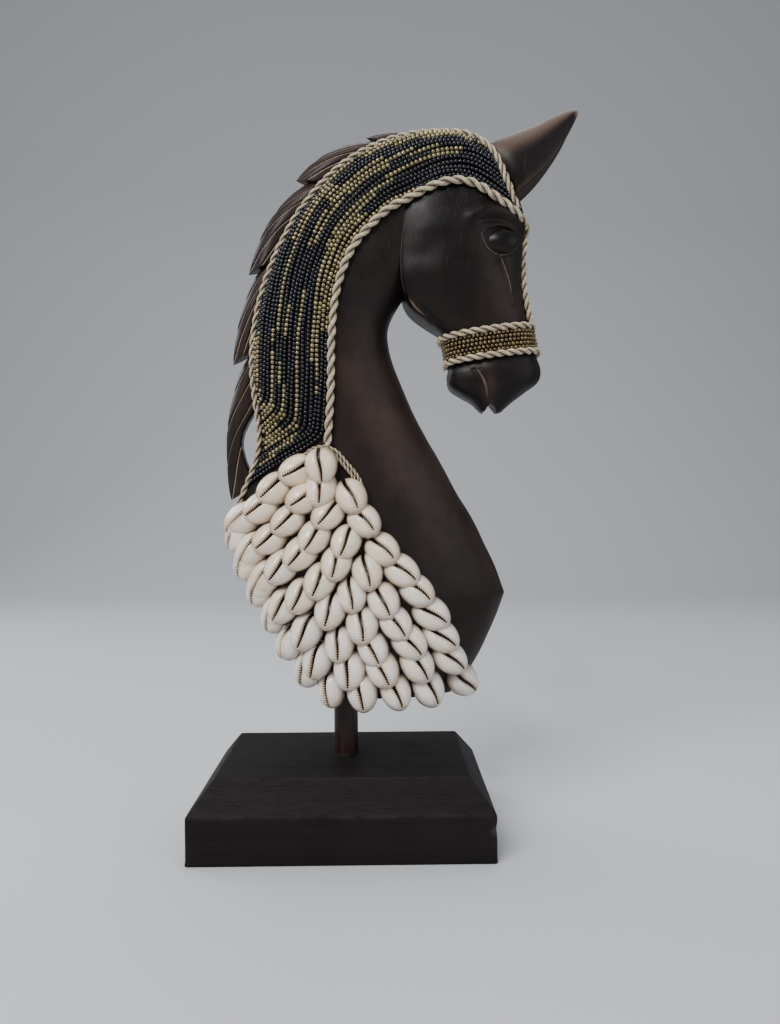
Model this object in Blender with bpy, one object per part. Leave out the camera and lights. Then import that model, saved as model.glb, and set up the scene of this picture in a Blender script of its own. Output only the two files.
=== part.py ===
"""Horse head sculpture: a carved wooden head and neck on a dowel and a bevelled plinth.

It wears two bands of bead rows edged with twisted cord, a beaded noseband and a
collar of cowrie shells. X is the way the horse looks, Z is up, and the origin is
the centre of the plinth's underside. Sizes here are in millimetres, and one scale
at the end of each mesh turns them into metres.
"""
import math

import bmesh
import bpy
from mathutils import Vector
from mathutils.bvhtree import BVHTree

MM = 0.001

# Clearances between pieces that touch
CLEARANCE = 0.35
SKIN_CLEARANCE = 0.6
# Where rays to the carved surface aim and start
NECK_MIDDLE = 20.0
HEAD_MIDDLE = 90.0
CAST_REACH = 150.0
CAST_MARGIN = 12.0

# Plinth
BASE_LENGTH = 180.0
BASE_WIDTH = 120.0
BASE_SIDE_HEIGHT = 28.0
BASE_HEIGHT = 46.0
BASE_INSET = 14.0
BASE_ROUND = 1.2

# Dowel that carries the head
POST_DIAMETER = 16.0
POST_X = 0.5
POST_HOLE_DIAMETER = POST_DIAMETER + 2 * CLEARANCE
POST_SIDES = 20
POST_IN_BASE = 20.0
POST_IN_NECK = 32.0

# The wood's flat underside
NECK_BOTTOM = 86.5

# Carved sections of the neck: back x, back z, front x, front z, half width, front sharpness
NECK_SECTIONS = [
    (-11.0, NECK_BOTTOM, 71.5, NECK_BOTTOM, 23.0, 1.5),
    (-24.0, 101.5, 82.5, 103.0, 26.5, 1.5),
    (-40.0, 125.5, 94.0, 125.0, 29.5, 1.5),
    (-52.0, 147.0, 103.8, 149.7, 30.5, 1.5),
    (-62.0, 168.0, 96.5, 169.5, 30.5, 1.5),
    (-69.0, 188.0, 85.0, 193.5, 30.0, 1.55),
    (-69.5, 204.0, 73.5, 213.5, 29.0, 1.6),
    (-62.5, 220.0, 62.5, 233.5, 28.5, 1.65),
    (-56.0, 236.0, 52.0, 252.5, 28.0, 1.7),
    (-54.0, 252.0, 43.0, 270.5, 27.5, 1.8),
    (-56.5, 272.0, 35.0, 289.5, 27.0, 1.9),
    (-58.5, 293.0, 29.5, 308.0, 26.5, 2.0),
    (-57.0, 318.0, 30.0, 323.0, 26.0, 2.0),
    (-51.5, 344.0, 41.0, 342.0, 25.0, 2.0),
    (-42.0, 370.0, 57.0, 356.0, 24.0, 2.0),
    (-28.0, 395.0, 70.0, 370.0, 23.0, 2.0),
    (-7.5, 418.5, 82.0, 385.0, 22.0, 2.0),
    (16.0, 433.5, 92.0, 398.0, 21.0, 2.0),
    (40.0, 441.0, 98.0, 408.0, 20.0, 2.0),
    (62.0, 443.0, 102.0, 418.0, 18.0, 2.0),
]
ROWS_TO_CHEST_CORNER = 3
NECK_BACK_POWER = 2.1
NECK_RINGS = 25
NECK_SIDES = 14

# Half sections of the head, from the jaw (0) to the nose (1), as shares of its depth and half width
CHEEK = [(0.0, 0.0), (0.0, 0.62), (0.05, 0.84), (0.3, 1.0), (0.62, 0.96), (0.86, 0.74), (1.0, 0.38), (1.0, 0.0)]
MUZZLE = [(0.0, 0.0), (0.0, 0.35), (0.08, 0.7), (0.3, 0.95), (0.6, 1.0), (0.86, 0.85), (1.0, 0.42), (1.0, 0.0)]

# Carved sections of the head: jaw x, jaw z, nose x, nose z, half width, share of muzzle form
HEAD_SECTIONS = [
    (56.0, 440.0, 88.0, 441.0, 12.0, 0.0),
    (46.0, 425.0, 99.5, 431.0, 19.0, 0.0),
    (40.0, 408.0, 106.5, 416.0, 23.5, 0.0),
    (37.0, 392.0, 112.0, 401.0, 26.0, 0.0),
    (36.3, 376.0, 115.5, 387.0, 27.0, 0.0),
    (36.3, 360.0, 114.0, 369.0, 26.5, 0.0),
    (37.0, 346.0, 113.5, 354.0, 25.5, 0.0),
    (42.0, 332.0, 114.5, 341.0, 23.0, 0.2),
    (53.0, 322.0, 116.5, 330.0, 20.0, 0.5),
    (65.5, 312.5, 119.0, 319.5, 18.0, 0.8),
    (68.5, 297.0, 122.5, 303.5, 17.5, 1.0),
    (67.5, 289.0, 125.8, 292.5, 18.5, 1.0),
    (69.0, 281.5, 124.0, 284.5, 18.0, 1.0),
    (76.0, 276.0, 117.0, 278.5, 15.5, 1.0),
    (83.0, 271.5, 109.0, 272.5, 12.0, 1.0),
    (87.0, 267.5, 103.0, 267.0, 8.0, 1.0),
]
HEAD_RINGS = 15
ROWS_TO_NOSEBAND = 9

# Ear sections: lower x, lower z, upper x, upper z, half thickness, distance from the middle plane
EAR_SECTIONS = [
    (106.0, 398.0, 88.0, 431.0, 4.5, 7.5),
    (113.0, 404.5, 96.5, 436.5, 8.5, 10.5),
    (122.0, 412.5, 110.0, 441.5, 8.0, 11.0),
    (129.5, 420.5, 121.0, 445.5, 7.0, 11.0),
    (137.0, 430.5, 131.0, 450.0, 5.5, 11.5),
    (143.5, 440.5, 140.5, 454.0, 4.0, 12.0),
    (148.6, 450.5, 148.0, 455.8, 1.8, 12.5),
]
EAR_OUTLINE = [(0.0, 0.7), (0.3, 1.0), (0.72, 0.8), (1.0, 0.0), (0.72, -0.8), (0.3, -1.0), (0.0, -0.7), (0.28, 0.0)]

# Locks of the mane from the poll down: outer x, outer z, inner x, inner z along each lock
MANE_LOCKS = [
    [(41.0, 447.0, 56.0, 441.0), (28.0, 446.8, 48.0, 438.0), (15.4, 443.4, 36.0, 435.0)],
    [(15.4, 440.8, 38.0, 432.0), (-1.0, 437.6, 26.0, 428.0), (-17.0, 428.8, 14.0, 420.0), (-30.2, 416.0, 0.0, 408.0)],
    [(-29.0, 410.0, 4.0, 404.0), (-44.0, 394.5, -12.0, 396.0), (-54.5, 375.5, -24.0, 384.0), (-61.0, 355.2, -34.0, 366.0)],
    [(-57.5, 352.0, -32.0, 362.0), (-65.5, 331.0, -42.0, 346.0), (-69.5, 313.0, -44.0, 330.0), (-71.4, 297.0, -46.0, 314.0)],
    [
        (-66.5, 292.6, -44.0, 312.0),
        (-72.0, 274.5, -48.0, 294.0),
        (-75.2, 256.0, -54.0, 274.0),
        (-75.6, 238.0, -65.0, 252.0),
        (-74.8, 222.0, -63.5, 236.0),
        (-73.2, 210.0, -56.0, 221.0),
    ],
]
LOCK_STRANDS = [3, 4, 5, 4, 6]
LOCK_HALF_THICKNESS = [4.5, 6.0, 6.5, 6.5, 6.5]
LOCK_SECTION = [(0.0, 0.0), (0.3, 0.68), (1.0, 1.0)]
STRAND_RINGS = [(0.0, 0.7, 1.2), (0.45, 1.0, 0.0)]

# Mouth: the notch between the lips and the line that runs up from it
MOUTH_NOTCH = (94.4, 273.0)
MOUTH_NOTCH_WIDTH = 12.5
MOUTH_NOTCH_FOOT = 262.0
MOUTH_LINE = [(87.3, 294.5, 17.4, 1.6), (91.2, 286.0, 17.2, 2.6), (94.2, 274.0, 12.6, 4.2)]
MOUTH_LINE_DEPTH = 2.4

# Eye: ball and socket centres and half sizes, the brow and the ridge below the eye
EYE_CENTRE = (98.8, 21.0, 368.4)
EYE_BALL = (7.6, 4.0, 6.4)
EYE_SOCKET = (10.6, 3.6, 8.0)
BROW = [(82.0, 22.0, 373.5, 0.8), (90.0, 23.5, 380.0, 2.6), (100.0, 22.5, 383.0, 3.4), (110.0, 17.5, 378.0, 2.6)]
FACE_RIDGE = [(97.5, 21.5, 361.5, 1.8), (101.0, 20.0, 351.0, 1.5), (105.0, 17.0, 340.0, 0.6)]

# Twisted cord, bead rows and the band between them
CORD_DIAMETER = 3.8
CORD_STEP = 16.0
BEAD_ROWS = 5
BAND_THICKNESS = 2.6
BAND_ROW_DEPTH = 0.9
BAND_STATIONS = 22
BAND_COLUMNS = 6
BAND_RANGE = (0.03, 0.91)
BAND_EDGE_GAP = 2.8
SETTLE_PASSES = 5
NOSEBAND_LIFT = 0.7

# Where the cords run: x, distance from the middle plane, z
MANE_CORD_START = 5.9
MANE_CORD_HALF_GAP = 10.0
MANE_CORD_TO_BROW = [(78.0, 12.0, 440.0), (89.5, 13.0, 433.0), (98.5, 15.0, 422.5), (104.5, 17.0, 411.0), (109.0, 18.0, 400.5)]
NECK_CORD = [
    (-8.6, 28.0, 241.5),
    (-6.6, 28.0, 273.0),
    (-6.0, 28.0, 296.0),
    (-5.4, 28.0, 312.0),
    (-2.5, 28.0, 338.0),
    (6.1, 28.0, 363.0),
    (18.4, 28.0, 378.5),
    (32.6, 28.0, 391.5),
    (48.2, 28.0, 400.3),
    (63.0, 28.0, 405.8),
    (77.6, 28.0, 406.8),
    (89.0, 28.0, 402.5),
    (100.0, 26.0, 396.0),
    (110.0, 20.0, 389.0),
    (116.5, 12.0, 383.5),
    (119.0, 0.0, 381.5),
]
NOSE_CORD_OFFSET = 7.2
NOSE_CORD_TOP = 376.5
NOSE_CORD_END = 325.0
NOSE_BEAD_ROWS = 3
BAND_CORNER = (-66.0, 9.0, 215.0)
BAND_FOOT = (-7.0, 28.0, 250.0)
BAND_CORNER_SHARE = 0.12
NOSEBAND_ROWS = 3

# Cowrie shells: size, how they lie, and the rows of the collar on one side
SHELL_LENGTH = 23.5
SHELL_WIDTH = 18.6
SHELL_HEIGHT = 8.5
SHELL_TILT = 8.0
SHELL_LIFT = 2.9
KNOT_SHELL = (-11.3, 227.6)
KNOT_SHELL_WIDTH = 21.0
KNOT_SHELL_LIFT = 6.5
ROW_COUNTS = [6, 7, 8, 8, 7, 6, 5, 4, 3, 2, 1]
FIRST_ROW_STARTS = [(-27.0, 226.0), (-12.6, 213.5)]
CHAIN_TOP = (6.2, 209.8)
CHAIN_FOOT = (67.5, 104.0)
CHAIN_BOW = 4.5
BACK_HEM_TOP = 185.0
BACK_HEM_PITCH = 17.0
BACK_ROWS = 6
BACK_HALF_GAP = 11.0
BOTTOM_HEM_START = -4.8
BOTTOM_HEM_PITCH = 18.2
BOTTOM_HEM_Z = 94.5
ROW_CURVE = 1.4
SLOT_TURN = 58.0
SLOT_TURN_RANGE = 22.0
SLOT_APEX = (0.6, 222.0)
WRAP_RADIUS = 28.0


def blend(a, b, t):
    """The value or the tuple that lies the share t of the way from a to b."""
    if isinstance(a, (int, float)):
        return a + (b - a) * t
    return tuple(x + (y - x) * t for x, y in zip(a, b))


def spline(rows, t):
    """A smooth curve through the rows, for t from 0 to the last row's number."""
    last = len(rows) - 1
    i = max(0, min(int(t), last - 1))
    f = t - i
    p1 = rows[i]
    p2 = rows[i + 1]
    p0 = rows[i - 1] if i > 0 else tuple(2 * a - b for a, b in zip(p1, p2))
    p3 = rows[i + 2] if i + 2 <= last else tuple(2 * b - a for a, b in zip(p1, p2))
    weights = (
        -0.5 * f**3 + f**2 - 0.5 * f,
        1.5 * f**3 - 2.5 * f**2 + 1.0,
        -1.5 * f**3 + 2.0 * f**2 + 0.5 * f,
        0.5 * f**3 - 0.5 * f**2,
    )
    return tuple(sum(w * v for w, v in zip(weights, vs)) for vs in zip(p0, p1, p2, p3))


def even_points(rows, step):
    """Points at even distances along the smooth curve through the rows."""
    fine = [Vector(spline(rows, i / 20)) for i in range(20 * (len(rows) - 1) + 1)]
    lengths = [0.0]
    for a, b in zip(fine, fine[1:]):
        lengths.append(lengths[-1] + (b - a).length)
    count = max(2, round(lengths[-1] / step))
    points = []
    k = 0
    for i in range(count + 1):
        wanted = lengths[-1] * i / count
        while k < len(fine) - 2 and lengths[k + 1] < wanted:
            k += 1
        span = lengths[k + 1] - lengths[k]
        points.append(fine[k].lerp(fine[k + 1], (wanted - lengths[k]) / span))
    return points


def spline_with_corner(rows, corner, t):
    """The smooth curve with a crisp corner at one of its rows."""
    if t <= corner:
        return spline(rows[:corner + 1], t)
    return spline(rows[corner:], t - corner)


def power_ring(back, front, half, back_power, front_power, sides):
    """One closed carved section between two points of the middle plane."""
    ring = []
    for k in range(sides):
        angle = 2 * math.pi * k / sides
        c = math.cos(angle)
        s = math.sin(angle)
        power = front_power if c > 0 else back_power
        u = 0.5 + 0.5 * math.copysign(abs(c) ** (2 / power), c)
        y = half * math.copysign(abs(s) ** (2 / power), s) if k % (sides // 2) else 0.0
        x, z = blend(back, front, u)
        ring.append((x, y, z))
    return ring


def neck_ring(t, sides):
    bx, bz, fx, fz, half, sharp = spline_with_corner(NECK_SECTIONS, ROWS_TO_CHEST_CORNER, t)
    return power_ring((bx, bz), (fx, fz), half, NECK_BACK_POWER, sharp, sides)


def head_ring(t):
    jx, jz, nx, nz, half, muzzle = spline(HEAD_SECTIONS, t)
    half_ring = []
    for cheek_point, muzzle_point in zip(CHEEK, MUZZLE):
        u, v = blend(cheek_point, muzzle_point, muzzle)
        x, z = blend((jx, jz), (nx, nz), u)
        half_ring.append((x, half * v, z))
    other = [(x, -y, z) for x, y, z in half_ring[-2:0:-1]]
    return half_ring + other


def ear_ring(t, side):
    """A section of an ear: a horn with its hollow along the lower front."""
    lx, lz, ux, uz, half, centre = spline(EAR_SECTIONS, t)
    ring = []
    for u, v in EAR_OUTLINE:
        x, z = blend((lx, lz), (ux, uz), u)
        ring.append((x, side * (centre + half * v), z))
    return ring


def lock_rings(lock, strands, half):
    """Sections of one lock of the mane, with a groove between its strands."""
    rings = []
    last = len(lock) - 1
    for strand in range(strands + 1):
        for share, thick, pull in STRAND_RINGS:
            t = (strand + share) / strands * last
            if t > last + 1e-6:
                break
            ox, oz, ix, iz = spline(lock, t)
            length = math.hypot(ix - ox, iz - oz)
            outer = blend((ox, oz), (ix, iz), pull / length)
            side = []
            for u, v in LOCK_SECTION:
                x, z = blend(outer, (ix, iz), u)
                side.append((x, half * v * thick, z))
            rings.append(side + [(x, -y, z) for x, y, z in side[:0:-1]])
    return rings


def loft(bm, rings, closed=False):
    """Bridge closed rings of equal count and cap both ends."""
    rows = [[bm.verts.new(p) for p in ring] for ring in rings]
    count = len(rows[0])
    pairs = list(zip(rows, rows[1:]))
    if closed:
        pairs.append((rows[-1], rows[0]))
    else:
        bm.faces.new(rows[0][::-1])
        bm.faces.new(rows[-1])
    for low, high in pairs:
        for k in range(count):
            n = (k + 1) % count
            bm.faces.new((low[k], low[n], high[n], high[k]))


def new_object(name, bm, material):
    """Turn a mesh in millimetres into an object in metres."""
    bmesh.ops.recalc_face_normals(bm, faces=bm.faces)
    if bm.calc_volume(signed=True) < 0:
        bmesh.ops.reverse_faces(bm, faces=bm.faces)
    bmesh.ops.scale(bm, vec=(MM, MM, MM), verts=bm.verts)
    mesh = bpy.data.meshes.new(name)
    bm.to_mesh(mesh)
    bm.free()
    obj = bpy.data.objects.new(name, mesh)
    bpy.context.collection.objects.link(obj)
    mesh.materials.append(material)
    return obj


def loft_object(name, rings, material, closed=False):
    bm = bmesh.new()
    loft(bm, rings, closed)
    return new_object(name, bm, material)


def make_material(name, colour, roughness, metallic=0.0):
    material = bpy.data.materials.new(name)
    material.use_nodes = True
    shader = material.node_tree.nodes["Principled BSDF"]
    shader.inputs["Base Color"].default_value = (*colour, 1.0)
    shader.inputs["Roughness"].default_value = roughness
    shader.inputs["Metallic"].default_value = metallic
    return material


def combine(target, tools, operation):
    """Join the tools to the target, or cut them out of it, for good."""
    for tool in tools:
        modifier = target.modifiers.new("carve", "BOOLEAN")
        modifier.object = tool
        modifier.operation = operation
        modifier.solver = "EXACT"
        depsgraph = bpy.context.evaluated_depsgraph_get()
        mesh = bpy.data.meshes.new_from_object(target.evaluated_get(depsgraph))
        target.modifiers.clear()
        target.data = mesh
        bpy.data.objects.remove(tool, do_unlink=True)


def steps(count, last):
    return [last * i / count for i in range(count + 1)]


def ellipsoid(name, centre, sizes, material):
    bm = bmesh.new()
    bmesh.ops.create_icosphere(bm, subdivisions=2, radius=1.0)
    bmesh.ops.scale(bm, vec=sizes, verts=bm.verts)
    bmesh.ops.translate(bm, vec=centre, verts=bm.verts)
    return new_object(name, bm, material)


def tube(name, points, radii, sides, material):
    """A closed tube with its own radius at each point."""
    rings = []
    points = [Vector(p) for p in points]
    normal = Vector((0.0, 1.0, 0.0))
    for i, point in enumerate(points):
        ahead = (points[min(i + 1, len(points) - 1)] - points[max(i - 1, 0)]).normalized()
        normal = (normal - ahead * normal.dot(ahead)).normalized()
        across = ahead.cross(normal)
        ring = []
        for k in range(sides):
            angle = 2 * math.pi * k / sides
            ring.append(point + radii[i] * (math.cos(angle) * normal + math.sin(angle) * across))
        rings.append(ring)
    return loft_object(name, rings, material)


def make_wood(material):
    """The head, neck, ears and mane, carved out of one block."""
    wood = loft_object("horse_head", [neck_ring(t, NECK_SIDES) for t in steps(NECK_RINGS, len(NECK_SECTIONS) - 1)], material)
    head = loft_object("head", [head_ring(t) for t in steps(HEAD_RINGS, len(HEAD_SECTIONS) - 1)], material)
    combine(wood, [head], "UNION")
    locks = []
    for lock, strands, half in zip(MANE_LOCKS, LOCK_STRANDS, LOCK_HALF_THICKNESS):
        locks.append(loft_object("lock", lock_rings(lock, strands, half), material))
    combine(wood, locks, "UNION")
    ears = [loft_object("ear", [ear_ring(t, side) for t in range(len(EAR_SECTIONS))], material) for side in (-1, 1)]
    combine(wood, ears, "UNION")
    for side in (-1, 1):
        x, y, z = EYE_CENTRE
        centre = (x, side * y, z)
        socket = ellipsoid("socket", (x, side * (y + 2.2), z), EYE_SOCKET, material)
        combine(wood, [socket], "DIFFERENCE")
        ball = ellipsoid("ball", centre, EYE_BALL, material)
        brow = tube("brow", [(a, side * b, c) for a, b, c, r in BROW], [r for a, b, c, r in BROW], 6, material)
        ridge_points = [(a, side * b, c) for a, b, c, r in FACE_RIDGE]
        ridge = tube("ridge", ridge_points, [r for a, b, c, r in FACE_RIDGE], 4, material)
        combine(wood, [ball, brow, ridge], "UNION")
    combine(wood, mouth_cutters(material), "DIFFERENCE")
    hole = round_bar("hole", POST_HOLE_DIAMETER, NECK_BOTTOM - POST_IN_NECK, NECK_BOTTOM + POST_IN_NECK, material)
    combine(wood, [hole], "DIFFERENCE")
    return wood


def mouth_cutters(material):
    """A wedge that parts the lips, and a groove up each side of the muzzle."""
    x, z = MOUTH_NOTCH
    wide = MOUTH_NOTCH_WIDTH / 2
    rings = []
    for y in (-40.0, 40.0):
        rings.append([(x, y, z), (x + wide, y, MOUTH_NOTCH_FOOT), (x - wide, y, MOUTH_NOTCH_FOOT)])
    cutters = [loft_object("notch", rings, material)]
    for side in (-1, 1):
        rings = []
        for lx, lz, half, width in MOUTH_LINE:
            deep = side * (half - MOUTH_LINE_DEPTH)
            out = side * (half + 3.0)
            rings.append([(lx, deep, lz), (lx + width, out, lz + 1.0), (lx - width, out, lz - 1.0)])
        cutters.append(loft_object("mouth", rings, material))
    return cutters


def round_bar(name, diameter, low, high, material):
    bm = bmesh.new()
    radius = diameter / 2
    bmesh.ops.create_cone(
        bm, cap_ends=True, segments=POST_SIDES, radius1=radius, radius2=radius, depth=high - low
    )
    bmesh.ops.translate(bm, vec=(POST_X, 0.0, (low + high) / 2), verts=bm.verts)
    return new_object(name, bm, material)


def make_base(material):
    """The plinth, with straight sides, sloped shoulders and a socket for the dowel."""
    rings = []
    for inset, z in ((0.0, 0.0), (0.0, BASE_SIDE_HEIGHT), (BASE_INSET, BASE_HEIGHT)):
        x = BASE_LENGTH / 2 - inset
        y = BASE_WIDTH / 2 - inset
        rings.append([(x, y, z), (-x, y, z), (-x, -y, z), (x, -y, z)])
    bm = bmesh.new()
    loft(bm, rings)
    edges = [e for e in bm.edges if any(v.co.z > 1.0 for v in e.verts)]
    bmesh.ops.bevel(bm, geom=edges, offset=BASE_ROUND, segments=1, profile=0.5, affect="EDGES")
    base = new_object("base", bm, material)
    top = BASE_HEIGHT + 5.0
    combine(base, [round_bar("socket", POST_HOLE_DIAMETER, BASE_HEIGHT - POST_IN_BASE, top, material)], "DIFFERENCE")
    return base


def make_post(material):
    low = BASE_HEIGHT - POST_IN_BASE + CLEARANCE
    high = NECK_BOTTOM + POST_IN_NECK - CLEARANCE
    return round_bar("post", POST_DIAMETER, low, high, material)


class Skin:
    """The carved surface that the trims lie on."""

    def __init__(self, ring_sets, spine):
        bm = bmesh.new()
        for rings in ring_sets:
            loft(bm, rings)
        bmesh.ops.recalc_face_normals(bm, faces=bm.faces)
        self.tree = BVHTree.FromBMesh(bm)
        self.spine = [Vector(p) for p in spine]
        bm.free()

    def cast(self, target, direction, reach):
        """The surface point and its outward normal on the way in to the target."""
        point, normal, _, _ = self.tree.ray_cast(target + direction * reach, -direction)
        if normal.dot(direction) < 0:
            normal = -normal
        return point, normal

    def centre(self, point):
        return min(self.spine, key=lambda c: (c - point).length)

    def lift(self, point, height, reach=None):
        """The point above the surface that lies outward of the given one."""
        point = Vector(point)
        target = self.centre(point)
        direction = (point - target).normalized()
        if reach is None:
            reach = (point - target).length + CAST_MARGIN
        hit, normal = self.cast(target, direction, reach)
        return hit + normal * height


def ring_centre(ring):
    total = Vector((0.0, 0.0, 0.0))
    for p in ring:
        total += Vector(p)
    return total / len(ring)


class BodySkin(Skin):
    """The neck and head without their mane, ears and eyes, and the finished carving to stay clear of."""

    def __init__(self, wood):
        neck = [neck_ring(t, NECK_SIDES) for t in steps(NECK_RINGS, len(NECK_SECTIONS) - 1)]
        head = [head_ring(t) for t in steps(HEAD_RINGS, len(HEAD_SECTIONS) - 1)]
        spine = [ring_centre(r) for r in neck[:-5]] + [ring_centre(r) for r in head[3:]]
        super().__init__([neck, head], spine)
        bm = bmesh.new()
        bm.from_mesh(wood.data)
        bmesh.ops.scale(bm, vec=(1 / MM, 1 / MM, 1 / MM), verts=bm.verts)
        self.carving = BVHTree.FromBMesh(bm)
        bm.free()

    def shortfall(self, point, height):
        """How far a point has to rise to be a height above the carving, and which way."""
        hit, normal, _, _ = self.carving.find_nearest(point)
        return height - (point - hit).dot(normal), normal

    def settle(self, points, height):
        """Raise a route's points until the straight runs between them clear the carving too."""
        points = [Vector(p) for p in points]
        for _ in range(SETTLE_PASSES):
            for a, b in zip(points, points[1:]):
                for share in (0.0, 0.25, 0.5, 0.75, 1.0):
                    short, normal = self.shortfall(a.lerp(b, share), height)
                    if short > 0:
                        a += normal * short * (1 - share)
                        b += normal * short * share
        return points


def cord(name, points, material, cyclic=False):
    """A plain tube along the cord's route."""
    curve = bpy.data.curves.new(name, "CURVE")
    curve.dimensions = "3D"
    curve.bevel_depth = CORD_DIAMETER / 2 * MM
    curve.bevel_resolution = 1
    curve.use_fill_caps = True
    line = curve.splines.new("POLY")
    line.points.add(len(points) - 1)
    for item, point in zip(line.points, points):
        item.co = (*(Vector(point) * MM), 1.0)
    line.use_cyclic_u = cyclic
    obj = bpy.data.objects.new(name, curve)
    bpy.context.collection.objects.link(obj)
    curve.materials.append(material)
    return obj


def mane_cord_route():
    """Along the crest beside the mane, then down in front of the ear."""
    route = []
    for t in steps(15, len(NECK_SECTIONS) - 1 - MANE_CORD_START):
        bx, bz, fx, fz, half, _ = spline_with_corner(NECK_SECTIONS, ROWS_TO_CHEST_CORNER, MANE_CORD_START + t)
        share = (MANE_CORD_HALF_GAP / half) ** (NECK_BACK_POWER / 2)
        c = math.sqrt(1 - share**2) ** (2 / NECK_BACK_POWER)
        x, z = blend((bx, bz), (fx, fz), 0.5 - 0.5 * c)
        route.append((x, MANE_CORD_HALF_GAP, z))
    return route + MANE_CORD_TO_BROW


def make_cords(skin, material):
    height = CORD_DIAMETER / 2 + SKIN_CLEARANCE
    crest = skin.settle([skin.lift(p, height) for p in even_points(mane_cord_route(), CORD_STEP)], height)
    for side, name in ((1, "mane_cord_left"), (-1, "mane_cord_right")):
        cord(name, [(x, side * y, z) for x, y, z in crest], material)
    half = skin.settle([skin.lift(p, height) for p in even_points(NECK_CORD, CORD_STEP)], height)
    half[-1].y = 0.0
    loop = half + [Vector((p.x, -p.y, p.z)) for p in half[-2::-1]]
    cord("neck_cord", loop, material)
    nose = []
    for z in steps(5, NOSE_CORD_TOP - NOSE_CORD_END):
        target = Vector((HEAD_MIDDLE, NOSE_CORD_OFFSET, NOSE_CORD_TOP - z))
        hit, normal = skin.cast(target, Vector((1.0, 0.0, 0.0)), CAST_REACH)
        nose.append(hit + Vector((height, 0.0, 0.0)))
    nose = skin.settle(nose, height)
    for side, name in ((1, "nose_cord_left"), (-1, "nose_cord_right")):
        cord(name, [(x, side * y, z) for x, y, z in nose], material)
    for row, name in ((ROWS_TO_NOSEBAND, "noseband_cord_upper"), (ROWS_TO_NOSEBAND + 1, "noseband_cord_lower")):
        cord(name, grown(head_ring(row), height + NOSEBAND_LIFT), material, cyclic=True)


def grown(ring, distance):
    """The flat ring moved outward in its own plane."""
    points = [Vector(p) for p in ring]
    centre = ring_centre(ring)
    count = len(points)
    axis = (points[2] - centre).cross(points[count // 2] - centre).normalized()
    moved = []
    for k, point in enumerate(points):
        before = (point - points[k - 1]).normalized().cross(axis)
        after = (points[(k + 1) % count] - point).normalized().cross(axis)
        if before.dot(point - centre) < 0:
            before = -before
        if after.dot(point - centre) < 0:
            after = -after
        middle = (before + after).normalized()
        moved.append(point + middle * distance / max(0.5, middle.dot(before)))
    return moved


def ridge_heights(rows):
    """Heights across a band of bead rows, low between the rows."""
    return [BAND_THICKNESS - (BAND_ROW_DEPTH if k % 2 == 0 else 0.0) for k in range(2 * rows + 1)]


def make_noseband(material):
    jaw_top = Vector(head_ring(ROWS_TO_NOSEBAND)[0])
    jaw_bottom = Vector(head_ring(ROWS_TO_NOSEBAND + 1)[0])
    margin = (CORD_DIAMETER / 2 + SKIN_CLEARANCE) / (jaw_top - jaw_bottom).length
    low = ROWS_TO_NOSEBAND + margin
    high = ROWS_TO_NOSEBAND + 1 - margin
    heights = ridge_heights(NOSEBAND_ROWS)
    tracks = []
    for k, height in enumerate(heights):
        ring = head_ring(blend(low, high, k / (len(heights) - 1)))
        tracks.append(grown(ring, SKIN_CLEARANCE + NOSEBAND_LIFT + height))
    for t in (high, (low + high) / 2, low):
        tracks.append(grown(head_ring(t), SKIN_CLEARANCE + NOSEBAND_LIFT))
    rings = [[track[k] for track in tracks] for k in range(len(tracks[0]))]
    return loft_object("noseband_beads", rings, material, closed=True)


def make_nose_beads(skin, material):
    half = NOSE_CORD_OFFSET - CORD_DIAMETER / 2 - CLEARANCE
    heights = ridge_heights(NOSE_BEAD_ROWS)
    rings = []
    for z in steps(5, NOSE_CORD_TOP - NOSE_CORD_END):
        target = Vector((HEAD_MIDDLE, 0.0, NOSE_CORD_TOP - z))
        hit, normal = skin.cast(target, Vector((1.0, 0.0, 0.0)), CAST_REACH)
        low = hit.x + SKIN_CLEARANCE
        ring = [(low, half, hit.z), (low, -half, hit.z)]
        for k, height in enumerate(heights):
            ring.append((low + height, blend(-half, half, k / (len(heights) - 1)), hit.z))
        rings.append(ring)
    return loft_object("nose_beads", rings, material)


def make_bead_bands(skin, material):
    """A broad band of bead rows on each side, between the mane's cord and the neck cord."""
    upper = even_points([BAND_CORNER] + mane_cord_route()[2:], 2.0)
    lower = even_points(NECK_CORD[:-2], 2.0)
    heights = ridge_heights(BEAD_ROWS)
    edge = CORD_DIAMETER / 2 + CLEARANCE + BAND_EDGE_GAP
    rings = []
    for v in [blend(*BAND_RANGE, i / BAND_STATIONS) for i in range(BAND_STATIONS + 1)]:
        left = upper[round(v * (len(upper) - 1))]
        if v < BAND_CORNER_SHARE:
            right = Vector(blend(BAND_CORNER, BAND_FOOT, v / BAND_CORNER_SHARE))
        else:
            along = (v - BAND_CORNER_SHARE) / (1 - BAND_CORNER_SHARE)
            right = lower[round(blend(4, len(lower) - 1, along))]
        width = (right - left).length
        reach = [(p - skin.centre(p)).length + 12.0 for p in (left, right)]
        ring = []
        for k, height in enumerate(heights):
            u = blend(edge / width, 1 - edge / width, k / (len(heights) - 1))
            ring.append(skin.lift(left.lerp(right, u), SKIN_CLEARANCE + height, blend(*reach, u)))
        for k in range(BAND_COLUMNS, -1, -1):
            u = blend(edge / width, 1 - edge / width, k / BAND_COLUMNS)
            ring.append(skin.lift(left.lerp(right, u), SKIN_CLEARANCE, blend(*reach, u)))
        rings.append(ring)
    raise_band(skin, rings, len(heights))
    for side, name in ((1, "bead_band_left"), (-1, "bead_band_right")):
        loft_object(name, [[(x, side * y, z) for x, y, z in ring] for ring in rings], material)


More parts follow.
